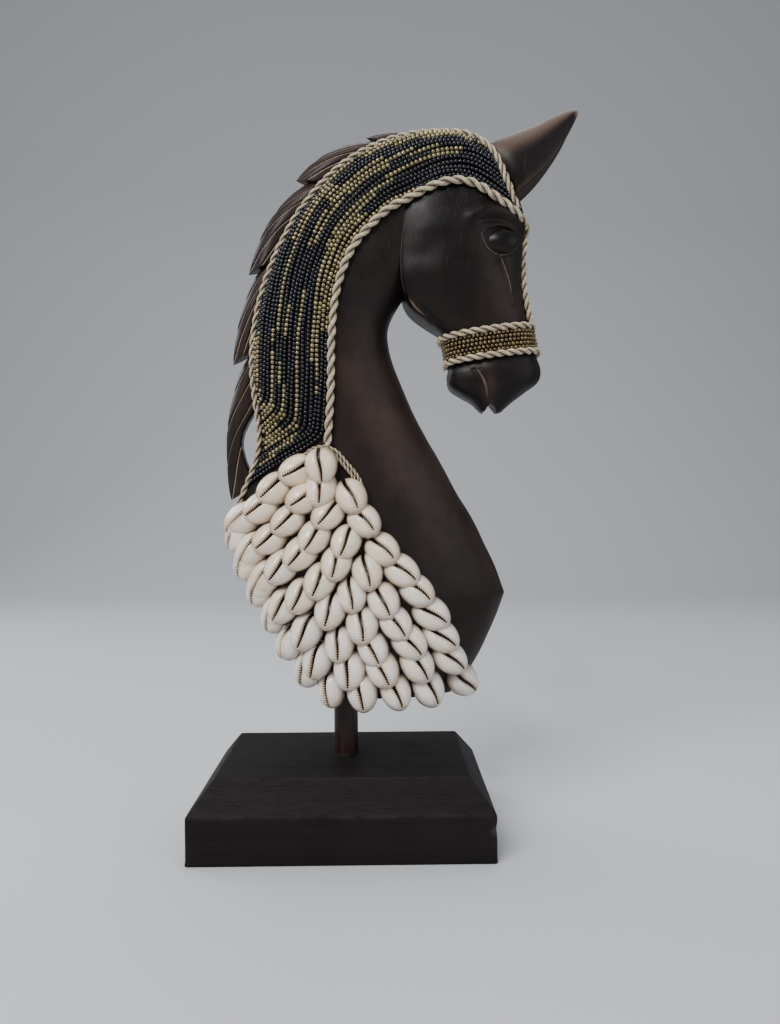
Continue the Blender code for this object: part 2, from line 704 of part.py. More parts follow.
def raise_band(skin, rings, top_count):
    """Raise a band's rings until its flat underside clears the carving."""
    for _ in range(SETTLE_PASSES):
        for low, high in zip(rings, rings[1:]):
            for k in range(top_count, len(low) - 1):
                corners = (low[k], low[k + 1], high[k], high[k + 1])
                samples = [sum(corners, Vector()) / 4]
                samples += [a.lerp(b, 0.5) for a, b in ((low[k], high[k]), (low[k], low[k + 1]), (low[k + 1], high[k]))]
                for sample in samples:
                    short, normal = skin.shortfall(sample, SKIN_CLEARANCE)
                    if short > 0:
                        for corner in corners:
                            corner += normal * short * 0.7
        for ring in rings:
            under = ring[top_count:][::-1]
            for k in range(top_count):
                share = k / (top_count - 1) * (len(under) - 1)
                i = min(int(share), len(under) - 2)
                floor = under[i].lerp(under[i + 1], share - i)
                hit, normal, _, _ = skin.tree.find_nearest(ring[k])
                thick = BAND_THICKNESS - (BAND_ROW_DEPTH if k % 2 == 0 else 0.0)
                short = thick - (ring[k] - floor).dot(normal)
                if short > 0:
                    ring[k] += normal * short


class CollarSkin(Skin):
    """The neck's surface where the shells hang, carried on below the wood."""

    def __init__(self):
        rings = [neck_ring(t, NECK_SIDES) for t in steps(20, 10.0)]
        below = [(x, y, z - 25.0) for x, y, z in rings[0]]
        super().__init__([[below] + rings], [(0.0, 0.0, 0.0)])

    def back(self, z):
        """Where the back of the neck is at a height."""
        target = Vector((NECK_MIDDLE, 0.0, z))
        hit, _ = self.cast(target, Vector((-1.0, 0.0, 0.0)), CAST_REACH)
        return hit.x

    def place(self, across, z):
        """The surface point, its normal and the way along it, unrolled from the side onto the back."""
        bend = self.back(z) + WRAP_RADIUS
        if across >= bend:
            target = Vector((across, 0.0, z))
            direction = Vector((0.0, 1.0, 0.0))
        else:
            angle = min(math.pi / 2, (bend - across) / WRAP_RADIUS)
            target = Vector((bend, 0.0, z))
            direction = Vector((-math.sin(angle), math.cos(angle), 0.0))
        hit, normal = self.cast(target, direction, CAST_REACH)
        return hit, normal


def collar_places(collar):
    """Where each shell lies on one side: across, height, slot angle."""
    places = []
    rows = len(ROW_COUNTS)
    chain_rows = rows - len(FIRST_ROW_STARTS) - 1
    for row, count in enumerate(ROW_COUNTS):
        if row < len(FIRST_ROW_STARTS):
            start = FIRST_ROW_STARTS[row]
        else:
            share = (row - len(FIRST_ROW_STARTS)) / chain_rows
            start = blend(CHAIN_TOP, CHAIN_FOOT, share)
            bow = CHAIN_BOW * math.sin(math.pi * share)
            start = (start[0] + bow, start[1] + bow * 0.6)
        if row < BACK_ROWS:
            z = BACK_HEM_TOP - BACK_HEM_PITCH * row
            end = (collar.back(z) - WRAP_RADIUS * (math.pi / 2 - 1) + BACK_HALF_GAP, z)
        else:
            end = (BOTTOM_HEM_START + BOTTOM_HEM_PITCH * (row - BACK_ROWS), BOTTOM_HEM_Z)
        for column in range(count):
            share = column / max(1, count - 1)
            across = blend(start[0], end[0], share)
            z = blend(start[1], end[1], 1 - (1 - share) ** ROW_CURVE)
            lean = math.degrees(math.atan2(across - SLOT_APEX[0], SLOT_APEX[1] - z))
            places.append((across, z, SLOT_TURN * math.tanh(lean / SLOT_TURN_RANGE)))
    return places


def shell_frame(collar, across, z, turn, lift):
    """Centre, lengthwise, crosswise and outward directions of a shell."""
    hit, normal = collar.place(across, z)
    up = (Vector((0.0, 0.0, 1.0)) - normal * normal.z).normalized()
    forward = up.cross(normal)
    if forward.x < 0 or forward.y < 0 and abs(forward.x) < 0.2:
        forward = -forward
    angle = math.radians(turn)
    down = math.sin(angle) * forward - math.cos(angle) * up
    tilt = math.radians(SHELL_TILT)
    along = down * math.cos(tilt) + normal * math.sin(tilt)
    out = normal * math.cos(tilt) - down * math.sin(tilt)
    return hit + normal * lift, along, out.cross(along), out


def add_shell(bm, frame, side, width):
    """A cowrie as a low bean with two lips and a slot from end to end."""
    centre, along, across, out = frame

    def corner(a, b, c):
        p = centre + along * a * SHELL_LENGTH / 2 + across * b * width / 2 + out * c * SHELL_HEIGHT
        return bm.verts.new((p.x, side * p.y, p.z))

    upper = corner(-1.0, 0.0, 0.3)
    lower = corner(1.0, 0.0, 0.3)
    foot = []
    for b in (-1.0, 1.0):
        edge_upper = corner(-0.52, b * 1.06, 0.05)
        edge_lower = corner(0.52, b * 1.06, 0.05)
        lip = corner(0.0, b * 0.42, 1.0)
        bm.faces.new((upper, edge_upper, lip))
        bm.faces.new((edge_upper, edge_lower, lip))
        bm.faces.new((edge_lower, lower, lip))
        bm.faces.new((upper, lip, lower))
        foot.append((edge_upper, edge_lower))
    bm.faces.new((foot[0][0], foot[0][1], foot[1][1], foot[1][0]))
    bm.faces.new((upper, foot[0][0], foot[1][0]))
    bm.faces.new((lower, foot[0][1], foot[1][1]))


def make_shells(material):
    """The collar of shells, fused side by side where they touch."""
    collar = CollarSkin()
    frames = [(shell_frame(collar, a, z, turn, SHELL_LIFT), SHELL_WIDTH) for a, z, turn in collar_places(collar)]
    frames.append((shell_frame(collar, *KNOT_SHELL, 0.0, KNOT_SHELL_LIFT), KNOT_SHELL_WIDTH))
    for side, name in ((1, "cowrie_shells_left"), (-1, "cowrie_shells_right")):
        target = None
        for frame, width in frames:
            bm = bmesh.new()
            add_shell(bm, frame, side, width)
            shell = new_object("shell", bm, material)
            if target is None:
                target = shell
                target.name = name
            else:
                combine(target, [shell], "UNION")


def main():
    for old in list(bpy.data.objects):
        bpy.data.objects.remove(old, do_unlink=True)
    wood = make_material("stained wood", (0.035, 0.025, 0.02), 0.5)
    rope = make_material("raffia cord", (0.62, 0.52, 0.36), 0.8)
    beads = make_material("glass beads", (0.05, 0.05, 0.06), 0.25)
    gold = make_material("gold beads", (0.45, 0.35, 0.18), 0.35, 0.4)
    shell = make_material("cowrie shell", (0.85, 0.8, 0.72), 0.25)
    make_base(wood)
    make_post(wood)
    skin = BodySkin(make_wood(wood))
    make_cords(skin, rope)
    make_bead_bands(skin, beads)
    make_noseband(gold)
    make_nose_beads(skin, beads)
    make_shells(shell)


main()
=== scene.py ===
import math
import random

import bmesh
import bpy
import numpy as np
from bpy.props import FloatProperty, FloatVectorProperty, PointerProperty
from bpy.types import Operator, Panel, PropertyGroup
from mathutils import Matrix, Vector, noise
from mathutils.bvhtree import BVHTree


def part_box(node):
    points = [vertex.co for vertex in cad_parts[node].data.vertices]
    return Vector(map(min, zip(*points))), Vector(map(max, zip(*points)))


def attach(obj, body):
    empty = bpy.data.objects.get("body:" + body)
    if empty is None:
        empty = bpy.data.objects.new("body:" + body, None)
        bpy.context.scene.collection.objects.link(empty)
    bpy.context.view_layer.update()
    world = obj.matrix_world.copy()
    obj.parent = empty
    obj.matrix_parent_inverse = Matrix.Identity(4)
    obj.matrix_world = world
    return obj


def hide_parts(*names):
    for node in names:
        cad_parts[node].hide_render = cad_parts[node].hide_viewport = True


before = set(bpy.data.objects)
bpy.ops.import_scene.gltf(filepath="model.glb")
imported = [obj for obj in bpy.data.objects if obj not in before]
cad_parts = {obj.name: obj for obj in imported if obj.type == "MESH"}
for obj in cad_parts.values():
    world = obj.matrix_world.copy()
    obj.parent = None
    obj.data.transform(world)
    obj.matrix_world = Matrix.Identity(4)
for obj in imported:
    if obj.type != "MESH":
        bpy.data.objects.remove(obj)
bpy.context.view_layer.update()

# Horse head sculpture: its wood, beads, cords, cowries and plinth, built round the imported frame.
# Sizes are in millimetres, the stage's and the user's ones in metres. X is the way the horse looks, Z is up.

bl_info = {
    "name": "Horse head sculpture",
    "version": (1, 0, 0),
    "blender": (4, 5, 0),
    "location": "View3D > Sidebar > Sculpture",
    "description": "Builds the finished wood, beads, cords and cowries of a carved horse head",
    "category": "Object",
}

MM = 0.001
BASE_LOW, BASE_HIGH = (tuple(v / MM for v in corner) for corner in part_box("base"))
POST_LOW, POST_HIGH = (tuple(v / MM for v in corner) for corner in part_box("post"))

# Carved sections of the neck: back x, back z, front x, front z, half width, front sharpness
NECK_SECTIONS = [
    (-11.0, 86.5, 71.5, 86.5, 23.0, 1.5),
    (-24.0, 101.5, 82.5, 103.0, 26.5, 1.5),
    (-40.0, 125.5, 94.0, 125.0, 29.5, 1.5),
    (-52.0, 147.0, 103.8, 149.7, 30.5, 1.5),
    (-62.0, 168.0, 96.5, 169.5, 30.5, 1.5),
    (-69.0, 188.0, 85.0, 193.5, 30.0, 1.55),
    (-69.5, 204.0, 73.5, 213.5, 29.0, 1.6),
    (-62.5, 220.0, 62.5, 233.5, 28.5, 1.65),
    (-56.0, 236.0, 52.0, 252.5, 28.0, 1.7),
    (-54.0, 252.0, 43.0, 270.5, 27.5, 1.8),
    (-56.5, 272.0, 35.0, 289.5, 27.0, 1.9),
    (-58.5, 293.0, 29.5, 308.0, 26.5, 2.0),
    (-57.0, 318.0, 30.0, 323.0, 26.0, 2.0),
    (-51.5, 344.0, 41.0, 342.0, 25.0, 2.0),
    (-42.0, 370.0, 57.0, 356.0, 24.0, 2.0),
    (-28.0, 395.0, 70.0, 370.0, 23.0, 2.0),
    (-7.5, 418.5, 82.0, 385.0, 22.0, 2.0),
    (16.0, 433.5, 92.0, 398.0, 21.0, 2.0),
    (40.0, 441.0, 98.0, 408.0, 20.0, 2.0),
    (62.0, 443.0, 102.0, 418.0, 18.0, 2.0),
]
# The section with the chest's sharp corner, and how round the neck's back is
CHEST_CORNER = 3
NECK_BACK_POWER = 2.1

# Half sections of the head, from the jaw (0) to the nose (1), as shares of its depth and half width
CHEEK = [(0.0, 0.0), (0.0, 0.62), (0.05, 0.84), (0.3, 1.0), (0.62, 0.96), (0.86, 0.74), (1.0, 0.38), (1.0, 0.0)]
MUZZLE = [(0.0, 0.0), (0.0, 0.35), (0.08, 0.7), (0.3, 0.95), (0.6, 1.0), (0.86, 0.85), (1.0, 0.42), (1.0, 0.0)]

# Carved sections of the head: jaw x, jaw z, nose x, nose z, half width, share of muzzle form
HEAD_SECTIONS = [
    (56.0, 440.0, 88.0, 441.0, 12.0, 0.0),
    (46.0, 425.0, 99.5, 431.0, 19.0, 0.0),
    (40.0, 408.0, 106.5, 416.0, 23.5, 0.0),
    (37.0, 392.0, 112.0, 401.0, 26.0, 0.0),
    (36.3, 376.0, 115.5, 387.0, 27.0, 0.0),
    (36.3, 360.0, 114.0, 369.0, 26.5, 0.0),
    (37.0, 346.0, 113.5, 354.0, 25.5, 0.0),
    (42.0, 332.0, 114.5, 341.0, 23.0, 0.2),
    (53.0, 322.0, 116.5, 330.0, 20.0, 0.5),
    (65.5, 312.5, 119.0, 319.5, 18.0, 0.8),
    (68.5, 297.0, 122.5, 303.5, 17.5, 1.0),
    (67.5, 289.0, 125.8, 292.5, 18.5, 1.0),
    (69.0, 281.5, 124.0, 284.5, 18.0, 1.0),
    (76.0, 276.0, 117.0, 278.5, 15.5, 1.0),
    (83.0, 271.5, 109.0, 272.5, 12.0, 1.0),
    (87.0, 267.5, 103.0, 267.0, 8.0, 1.0),
]
# The sections that the noseband's two cords lie on
NOSEBAND_TOP = 9
NOSEBAND_BOTTOM = 10
# Rings that round the lips off: share of the last section, and drop
LIP_ROUNDING = [(0.93, 0.8), (0.78, 1.5), (0.5, 2.0), (0.15, 2.2)]

# Mouth notch: its point, width and foot
MOUTH_NOTCH = (94.4, 273.0)
MOUTH_NOTCH_WIDTH = 12.5
MOUTH_NOTCH_FOOT = 262.0

# Ear sections: lower x, lower z, upper x, upper z, half thickness, distance from the middle plane
EAR_SECTIONS = [
    (106.0, 398.0, 88.0, 431.0, 4.5, 7.5),
    (113.0, 404.5, 96.5, 436.5, 8.5, 10.5),
    (122.0, 412.5, 110.0, 441.5, 8.0, 11.0),
    (129.5, 420.5, 121.0, 445.5, 7.0, 11.0),
    (137.0, 430.5, 131.0, 450.0, 5.5, 11.5),
    (143.5, 440.5, 140.5, 454.0, 4.0, 12.0),
    (148.6, 450.5, 148.0, 455.8, 1.8, 12.5),
]
# The ear's section: share of its width from the lower edge, share of its half thickness
EAR_OUTLINE = [(0.0, 0.7), (0.3, 1.0), (0.72, 0.8), (1.0, 0.0), (0.72, -0.8), (0.3, -1.0), (0.0, -0.7), (0.28, 0.0)]
# Rings that round its tip off: share of the last section, and how far out
EAR_TIP_ROUNDING = [(0.85, 0.5), (0.6, 0.9), (0.3, 1.1)]

# Locks of the mane from the poll down: outer x, outer z, inner x, inner z along each lock
MANE_LOCKS = [
    [(41.0, 447.0, 56.0, 441.0), (28.0, 446.8, 48.0, 438.0), (15.4, 443.4, 36.0, 435.0)],
    [(15.4, 440.8, 38.0, 432.0), (-1.0, 437.6, 26.0, 428.0), (-17.0, 428.8, 14.0, 420.0), (-30.2, 416.0, 0.0, 408.0)],
    [(-29.0, 410.0, 4.0, 404.0), (-44.0, 394.5, -12.0, 396.0), (-54.5, 375.5, -24.0, 384.0),
     (-61.0, 355.2, -34.0, 366.0)],
    [(-57.5, 352.0, -32.0, 362.0), (-65.5, 331.0, -42.0, 346.0), (-69.5, 313.0, -44.0, 330.0),
     (-71.4, 297.0, -46.0, 314.0)],
    [(-66.5, 292.6, -44.0, 312.0), (-72.0, 274.5, -48.0, 294.0), (-75.2, 256.0, -54.0, 274.0),
     (-75.6, 238.0, -65.0, 252.0), (-74.8, 222.0, -63.5, 236.0), (-73.2, 210.0, -56.0, 221.0)],
]
# For each lock: half thickness, distance between grooves, and how far they slant for each step inward
LOCK_HALF_THICKNESS = [4.5, 6.0, 6.5, 6.5, 6.5]
LOCK_GROOVE_PITCH = [15.0, 18.0, 22.0, 21.0, 23.0]
LOCK_GROOVE_SLANT = [2.2, 2.5, 2.2, 2.5, 1.2]
# Rings of a lock, in millimetres from each groove and as shares of the way to the next one
NEAR_GROOVE = (-0.9, -0.5, -0.25, 0.0, 0.25, 0.5, 0.75, 1.0, 1.4)
BETWEEN_GROOVES = (0.3, 0.42, 0.54, 0.66, 0.78)
# How far a lock's hidden root goes back and in under the lock above
LOCK_ROOT = (9.0, 5.0)

# Cuts and ridges of the head: points, half width, depth (below 0 stands proud), paleness
HEAD_STROKES = [
    ([(44.0, 24.0, 410.0), (41.0, 26.0, 396.0), (38.6, 26.5, 378.0), (38.2, 26.0, 358.0), (39.0, 24.5, 346.0),
      (43.5, 21.5, 335.5), (52.5, 18.5, 326.5), (61.0, 16.5, 319.5)], 2.2, 1.3, 0.0),
    ([(42.5, 22.0, 411.0), (39.5, 22.5, 396.0), (36.8, 22.5, 378.0), (36.4, 22.5, 360.0), (36.8, 21.5, 347.0),
      (41.0, 19.0, 335.5), (51.0, 16.0, 325.0), (60.0, 13.0, 317.5)], 0.9, 0.0, 0.6),
    ([(81.0, 23.0, 383.5), (89.0, 24.0, 388.0), (99.0, 23.0, 389.0), (108.0, 19.0, 386.0), (115.0, 14.0, 381.0)],
     7.5, -2.6, 0.0),
    ([(79.0, 23.0, 378.0), (87.0, 24.0, 381.3), (98.0, 23.0, 383.0), (108.0, 19.0, 381.0), (114.0, 14.0, 378.0)],
     3.0, 2.0, 0.0),
    ([(98.0, 22.0, 361.5), (101.0, 20.5, 353.0), (104.5, 18.5, 343.0), (107.5, 16.5, 333.0)], 3.0, -1.3, 0.0),
    ([(82.2, 17.0, 291.4), (85.6, 17.6, 285.0), (87.7, 17.0, 279.5), (89.0, 14.0, 272.0)], 1.5, 1.0, 0.0),
    ([(86.9, 17.0, 291.4), (90.3, 17.5, 285.6), (92.5, 16.5, 279.5), (93.2, 13.0, 273.0)], 1.5, 1.0, 0.0),
]
# Where handling has thinned the stain on the head, and a painted highlight on the brow ridge: x, z, half sizes and
# strength on face, eye, brow (the painted highlight), jaw and lips
HEAD_RUB_AND_HIGHLIGHT = [(98, 338, 16, 24, 0.7), (84, 366, 6, 9, 0.55), (101, 384, 9, 4.5, 0.5), (58, 325, 18, 12, 0.35),
               (92.5, 279, 4, 10, 0.9)]

# The eye: x, z of its centre, half sizes of its ball, and half width, half height and depth of its socket
EYE_CENTRE = (99.6, 370.0)
EYE_BALL = (11.0, 4.8, 7.8)
EYE_SOCKET = (12.0, 9.5, 2.4)
# Raised lines of the face: x, z and radius
UPPER_LID = [(86.0, 371.5, 0.3), (89.5, 376.0, 0.9), (94.5, 378.6, 1.3), (100.0, 379.4, 1.4), (105.5, 378.4, 1.3),
             (110.0, 374.8, 0.9), (112.0, 371.0, 0.3)]
LOWER_LID = [(86.3, 373.5, 0.25), (88.2, 368.0, 0.45), (91.5, 363.6, 0.5), (96.0, 361.4, 0.5), (101.5, 361.6, 0.5),
             (107.0, 364.6, 0.45), (111.0, 370.0, 0.25)]
TEAR_LINE = [(97.9, 361.1, 0.25), (100.0, 356.0, 0.5), (102.6, 350.0, 0.5), (104.4, 344.5, 0.45), (105.6, 339.0, 0.2)]
MOUTH_RIDGE = [(84.4, 291.4, 0.3), (87.8, 285.8, 0.75), (90.0, 280.3, 0.8), (91.1, 275.0, 0.5)]
CHEEK_LINE = [(39.9, 384.0, 0.2), (37.6, 371.0, 0.4), (37.0, 359.0, 0.45), (37.4, 347.0, 0.4), (39.5, 338.5, 0.2)]
# Each line with its height on the face and its paleness
LINES_OF_THE_FACE = [
    (UPPER_LID, -0.25, 0.0),
    (LOWER_LID, -0.1, 0.14),
    (TEAR_LINE, 0.85, 0.2),
    (MOUTH_RIDGE, -0.25, 0.2),
    (CHEEK_LINE, -0.1, 0.08),
]

# The mane's cord starts at this section of the neck and runs at this distance from the middle plane
MANE_CORD_START = 5.9
MANE_CORD_HALF_GAP = 10.0
# Where the cords run: x, distance from the middle plane, z
MANE_CORD_TO_BROW = [(78.0, 12.0, 440.0), (89.5, 13.0, 433.0), (98.5, 15.0, 422.5), (104.5, 17.0, 411.0),
                     (109.0, 18.0, 400.5)]
NECK_CORD = [(-8.6, 28.0, 241.5), (-6.6, 28.0, 273.0), (-6.0, 28.0, 296.0), (-5.4, 28.0, 312.0), (-2.5, 28.0, 338.0),
             (6.1, 28.0, 363.0), (18.4, 28.0, 378.5), (32.6, 28.0, 391.5), (48.2, 28.0, 400.3), (63.0, 28.0, 405.8),
             (77.6, 28.0, 406.8), (89.0, 28.0, 402.5), (100.0, 26.0, 396.0), (110.0, 20.0, 389.0),
             (116.5, 12.0, 383.5), (119.0, 0.0, 381.5)]
EAR_CORD = [(86.0, 15.0, 437.0), (93.5, 16.0, 430.0), (99.5, 17.5, 421.0), (104.0, 19.5, 411.0), (108.5, 20.0, 400.0),
            (112.5, 18.0, 391.0)]
KNOT_CORDS = [
    [(-21.8, 29.0, 233.4), (-18.8, 29.0, 237.7), (-12.7, 29.0, 240.1), (-5.4, 29.0, 238.9), (-1.8, 29.0, 234.7),
     (1.8, 29.0, 229.8), (6.7, 29.0, 224.9), (9.1, 29.0, 219.5)],
    [(-26.5, 29.0, 234.5), (-20.2, 29.0, 240.2), (-12.7, 29.0, 242.6), (-4.4, 29.0, 241.2), (0.0, 29.0, 236.2),
     (3.8, 29.0, 231.2), (8.6, 29.0, 226.2), (12.5, 29.0, 219.0)],
]

# The bead bands: the ends of their foot, its share of their length and its slope in degrees
BAND_CORNER = (-69.0, 8.0, 208.0)
BAND_FOOT = (-9.0, 28.0, 246.0)
BAND_CORNER_SHARE = 0.13
BAND_FOOT_SLOPE = 34.5
# Stations along a band, most rows across it, and fewest stations that a strand of beads spans
BAND_STATIONS = 220
BAND_ROWS_AT_MOST = 40
SHORTEST_STRAND = 8
# Row to row, in bead diameters, at the foot and on the arch of the neck
BEAD_ROW_SPACING = (1.0, 1.06)
# Sizes of the black beads and of the head's beads as shares of a gold bead of the neck
BLACK_BEAD_SHARE = 0.9
HEAD_BEAD_SHARE = 0.92
# Chances that a bead in a gold stretch is black and that one outside is gold
BLACK_IN_GOLD = 0.02
GOLD_IN_BLACK = 0.008
# The noseband's rows from top to bottom, each turned on by quarters of a bead, and its colour beside the gold's
NOSEBAND_SHIFTS = (0, 2, 5, 3, 9)
BRONZE_SHARE = (0.68, 0.60, 0.55)
# The strip down the nose: its top and foot, its rows and its cords' distance from the middle plane
NOSE_ROWS = 4
NOSE_STRIP = (377.0, 322.0)
NOSE_CORD_OFFSET = 7.2

# Stretches of gold in each row of beads, from the neck cord to the mane's cord, as shares of the band's length
GOLD_STRETCHES = [
    [(0.355, 0.745)],
    [(0.34, 0.625)],
    [(0.073, 0.10), (0.21, 0.61)],
    [(0.095, 0.125), (0.275, 0.655)],
    [(0.12, 0.137), (0.505, 0.70)],
    [(0.105, 0.15), (0.69, 0.845)],
    [(0.114, 0.41), (0.785, 0.845)],
    [(0.12, 0.145), (0.50, 0.70), (0.745, 0.81)],
    [(0.13, 0.17), (0.487, 0.76)],
    [(0.136, 0.225), (0.305, 0.37), (0.575, 0.70), (0.85, 0.90)],
    [(0.145, 0.175), (0.225, 0.268), (0.575, 0.605), (0.78, 0.873)],
    [(0.159, 0.19), (0.32, 0.60), (0.725, 0.85)],
    [(0.168, 0.28), (0.295, 0.32), (0.48, 0.60), (0.67, 0.836)],
    [(0.173, 0.185), (0.575, 0.768)],
    [(0.186, 0.20)],
    [(0.20, 0.215)],
    [(0.209, 0.31)],
    [(0.227, 0.30)],
    [(0.255, 0.30)],
]

# Cowries on one side, row by row from the knot down: x, z of each centre, and how far its slot turns from upright
SHELL_ROWS = [
    [(-27.1, 226.4, -64), (-40.5, 214.9, -46), (-48.4, 204.0, -55),
     (-57.5, 198.0, -52), (-66.0, 196.2, -35), (-67.9, 185.9, -23)],
    [(-12.6, 214.2, -3), (-23.5, 210.0, -57), (-33.3, 196.1, -48), (-43.7, 185.8, -52),
     (-52.8, 179.8, -40), (-58.9, 175.0, -27), (-62.0, 168.9, -20)],
    [(6.2, 209.8, 22), (-9.6, 199.6, -42), (-17.6, 185.6, -35), (-25.6, 176.6, -43),
     (-36.5, 168.7, -40), (-45.0, 163.3, -42), (-51.1, 157.3, -33), (-54.8, 152.4, -17)],
    [(14.6, 195.2, 36), (1.8, 182.5, -23), (-3.8, 169.7, -15), (-13.5, 159.5, -24),
     (-24.5, 151.0, -30), (-34.3, 145.6, -34), (-42.8, 140.2, -29), (-45.8, 136.0, -13)],
    [(25.5, 178.1, 41), (15.7, 164.1, 11), (6.5, 150.8, 7), (-7.0, 141.8, -15),
     (-21.0, 129.7, -26), (-30.2, 123.7, -27), (-36.3, 118.8, -20)],
    [(37.0, 165.2, 47), (25.9, 147.0, 24), (12.4, 132.5, 4),
     (-1.0, 121.6, 0), (-13.8, 112.6, -18), (-24.2, 102.9, -24)],
    [(46.0, 153.0, 42), (33.1, 133.6, 31), (19.7, 118.4, 25), (5.0, 105.7, 0), (-4.8, 95.4, 0)],
    [(54.5, 140.1, 54), (41.0, 122.5, 39), (25.1, 106.2, 25), (12.8, 92.8, 8)],
    [(59.9, 126.7, 51), (45.2, 109.1, 26), (32.3, 92.7, 19)],
    [(64.7, 113.8, 47), (51.2, 95.0, 21)],
    [(71.4, 100.9, 53)],
]
KNOT_SHELL = (-11.3, 228.1, 3)
# How far a shell's lower end stands out in degrees, its height on the wood, and its shift up its own length
SHELL_TILT = 27.0
SHELL_LIFT = 3.4
SHELL_PULL = 1.9
# The cowries above this height are the creamiest
SHELL_CREAM_HEIGHT = 205.0
# The plane near the neck's side that the shells' places are given on, and how far they may hang below the wood
SHELL_PLANE = -31.0
NECK_BELOW_WOOD = 25.0

# Fineness of the meshes
NECK_RINGS, NECK_SIDES = 300, 120
HEAD_RINGS, HEAD_FINE = 230, 11
EAR_RINGS, EAR_FINE = 90, 8
SKIN_SIDES = 64
LOCK_STEPS, LOCK_SIDES = 400, 22
EYE_RINGS, EYE_SIDES = 25, 40
LINE_SIDES = 12
DOWEL_RINGS, DOWEL_SIDES = 110, 72
GLUE_RINGS, GLUE_SIDES = 7, 96
PLY_SIDES = 8
BEAD_SIDES = 8
SHELL_RINGS = 27

# Plinth: height and inset of its sloped shoulders, roundness and wear of its edges, and the chip at one corner
PLINTH_SHOULDER = 28.0
PLINTH_INSET = 14.0
PLINTH_CORNER = 1.3
PLINTH_WEAR = 0.9
PLINTH_SIDE_PARTS = (56, 38)
PLINTH_RUBBED = (0.024, 0.0195, 0.0205)
CHIP_PLACE = (BASE_HIGH[0], BASE_LOW[1], 19.5)
CHIP_SIZE = (2.0, 2.2, 2.0)
CHIP_DEPTH = (1.7, -1.4, 0.0)

# Dowel and the bead of glue round its foot
DOWEL_X = (POST_LOW[0] + POST_HIGH[0]) / 2
DOWEL_RADIUS = (POST_HIGH[0] - POST_LOW[0]) / 2
DOWEL_STAIN = (0.009, 0.0045, 0.004)
DOWEL_RUBBED = (0.045, 0.018, 0.013)
GLUE_INSIDE = 0.5

# Bead glass: how metallic, least and greatest roughness, and how far the shades spread
GOLD_GLASS = (0.8, 0.22, 0.34, 0.36)
BLACK_GLASS = (0.0, 0.12, 0.2, 0.5)

# Stage, in metres: depth of the floor, start and bend of the wall, and each light's place, size, power and tint
FLOOR_FRONT = -3.0
FLOOR_HALF_WIDTH = 5.0
WALL_START = 1.2
WALL_BEND = 0.8
WALL_TOP = 4.0
LIGHTS = [
    ("window", (-0.9, -1.1, 1.35), 0.8, 27.0, (1.0, 0.99, 0.97)),
    ("lamp", (-0.35, -1.25, 1.25), 0.2, 8.0, (1.0, 0.98, 0.95)),
    ("fill", (1.3, -1.0, 0.7), 1.2, 7.0, (0.93, 0.96, 1.0)),
    ("top", (0.1, 0.35, 1.6), 1.1, 15.0, (0.95, 0.97, 1.0)),
    ("rim", (-1.1, 0.7, 0.9), 0.7, 7.0, (0.9, 0.95, 1.0)),
]
LIGHTS_AIM = (0.02, 0.0, 0.25)
SKY_COLOUR = (0.80, 0.84, 0.90)
SKY_STRENGTH = 0.40

# The viewer's eye in millimetres and how it is turned, in degrees
EYE_POINT = (23.1, -499.6, 207.3)
EYE_PITCH = 0.6
EYE_ROLL = -0.3
EYE_YAW = 0.75
# Focal length and height of the picture in pixels, and the camera's sensor in millimetres
FOCAL_PIXELS = 771.0
PHOTO_HEIGHT = 1024
SENSOR = 36.0


class SculptureSizes(PropertyGroup):
    """The sizes of the trims, which a user may change."""

    bead_diameter: FloatProperty(
        name="Bead", description="Diameter of a bead", default=0.0029, unit="LENGTH")
    neck_cord: FloatProperty(
        name="Neck cord", description="Diameter of the neck cord", default=0.0047, unit="LENGTH")
    mane_cord: FloatProperty(
        name="Mane cord", description="Diameter of the mane cords", default=0.0034, unit="LENGTH")
    head_cord: FloatProperty(
        name="Head cord", description="Diameter of the noseband cords", default=0.0040, unit="LENGTH")
    knot_cord: FloatProperty(
        name="Knot cord", description="Diameter of the cords at the knot", default=0.0021, unit="LENGTH")
    shell_length: FloatProperty(
        name="Cowrie length", description="Length of a cowrie", default=0.0253, unit="LENGTH")
    shell_width: FloatProperty(
        name="Cowrie width", description="Width of a cowrie", default=0.0200, unit="LENGTH")
    shell_height: FloatProperty(
        name="Cowrie height", description="Height of a cowrie", default=0.0092, unit="LENGTH")


class SculptureColours(PropertyGroup):
    """The colours of the finishes."""

    stain: FloatVectorProperty(
        name="Stain", description="Dark brown of the stained wood",
        default=(0.0050, 0.0034, 0.0035), subtype="COLOR", size=3)
    # The rubbed brown is also the colour of the painted light on the brow and on the ears' upper halves.
    rubbed_and_lit: FloatVectorProperty(
        name="Rubbed wood", description="Warmer brown where the stain is thin",
        default=(0.044, 0.0255, 0.0190), subtype="COLOR", size=3)
    cut: FloatVectorProperty(
        name="Cut wood", description="Pale brown of the cut edges",
        default=(0.50, 0.34, 0.24), subtype="COLOR", size=3)
    plinth: FloatVectorProperty(
        name="Plinth", description="Near-black stain of the plinth",
        default=(0.0078, 0.0059, 0.0062), subtype="COLOR", size=3)
    raffia: FloatVectorProperty(
        name="Raffia", description="Natural twisted cord",
        default=(0.62, 0.515, 0.35), subtype="COLOR", size=3)
    gold: FloatVectorProperty(
        name="Gold beads", description="Dull gold glass",
        default=(0.25, 0.21, 0.115), subtype="COLOR", size=3)
    black: FloatVectorProperty(
        name="Black beads", description="Black glass",
        default=(0.0035, 0.0040, 0.0075), subtype="COLOR", size=3)
    shell: FloatVectorProperty(
        name="Cowrie", description="Cream of the shells",
        default=(0.84, 0.745, 0.635), subtype="COLOR", size=3)
    floor: FloatVectorProperty(
        name="Floor", description="Plain floor and wall",
        default=(0.50, 0.51, 0.525), subtype="COLOR", size=3)


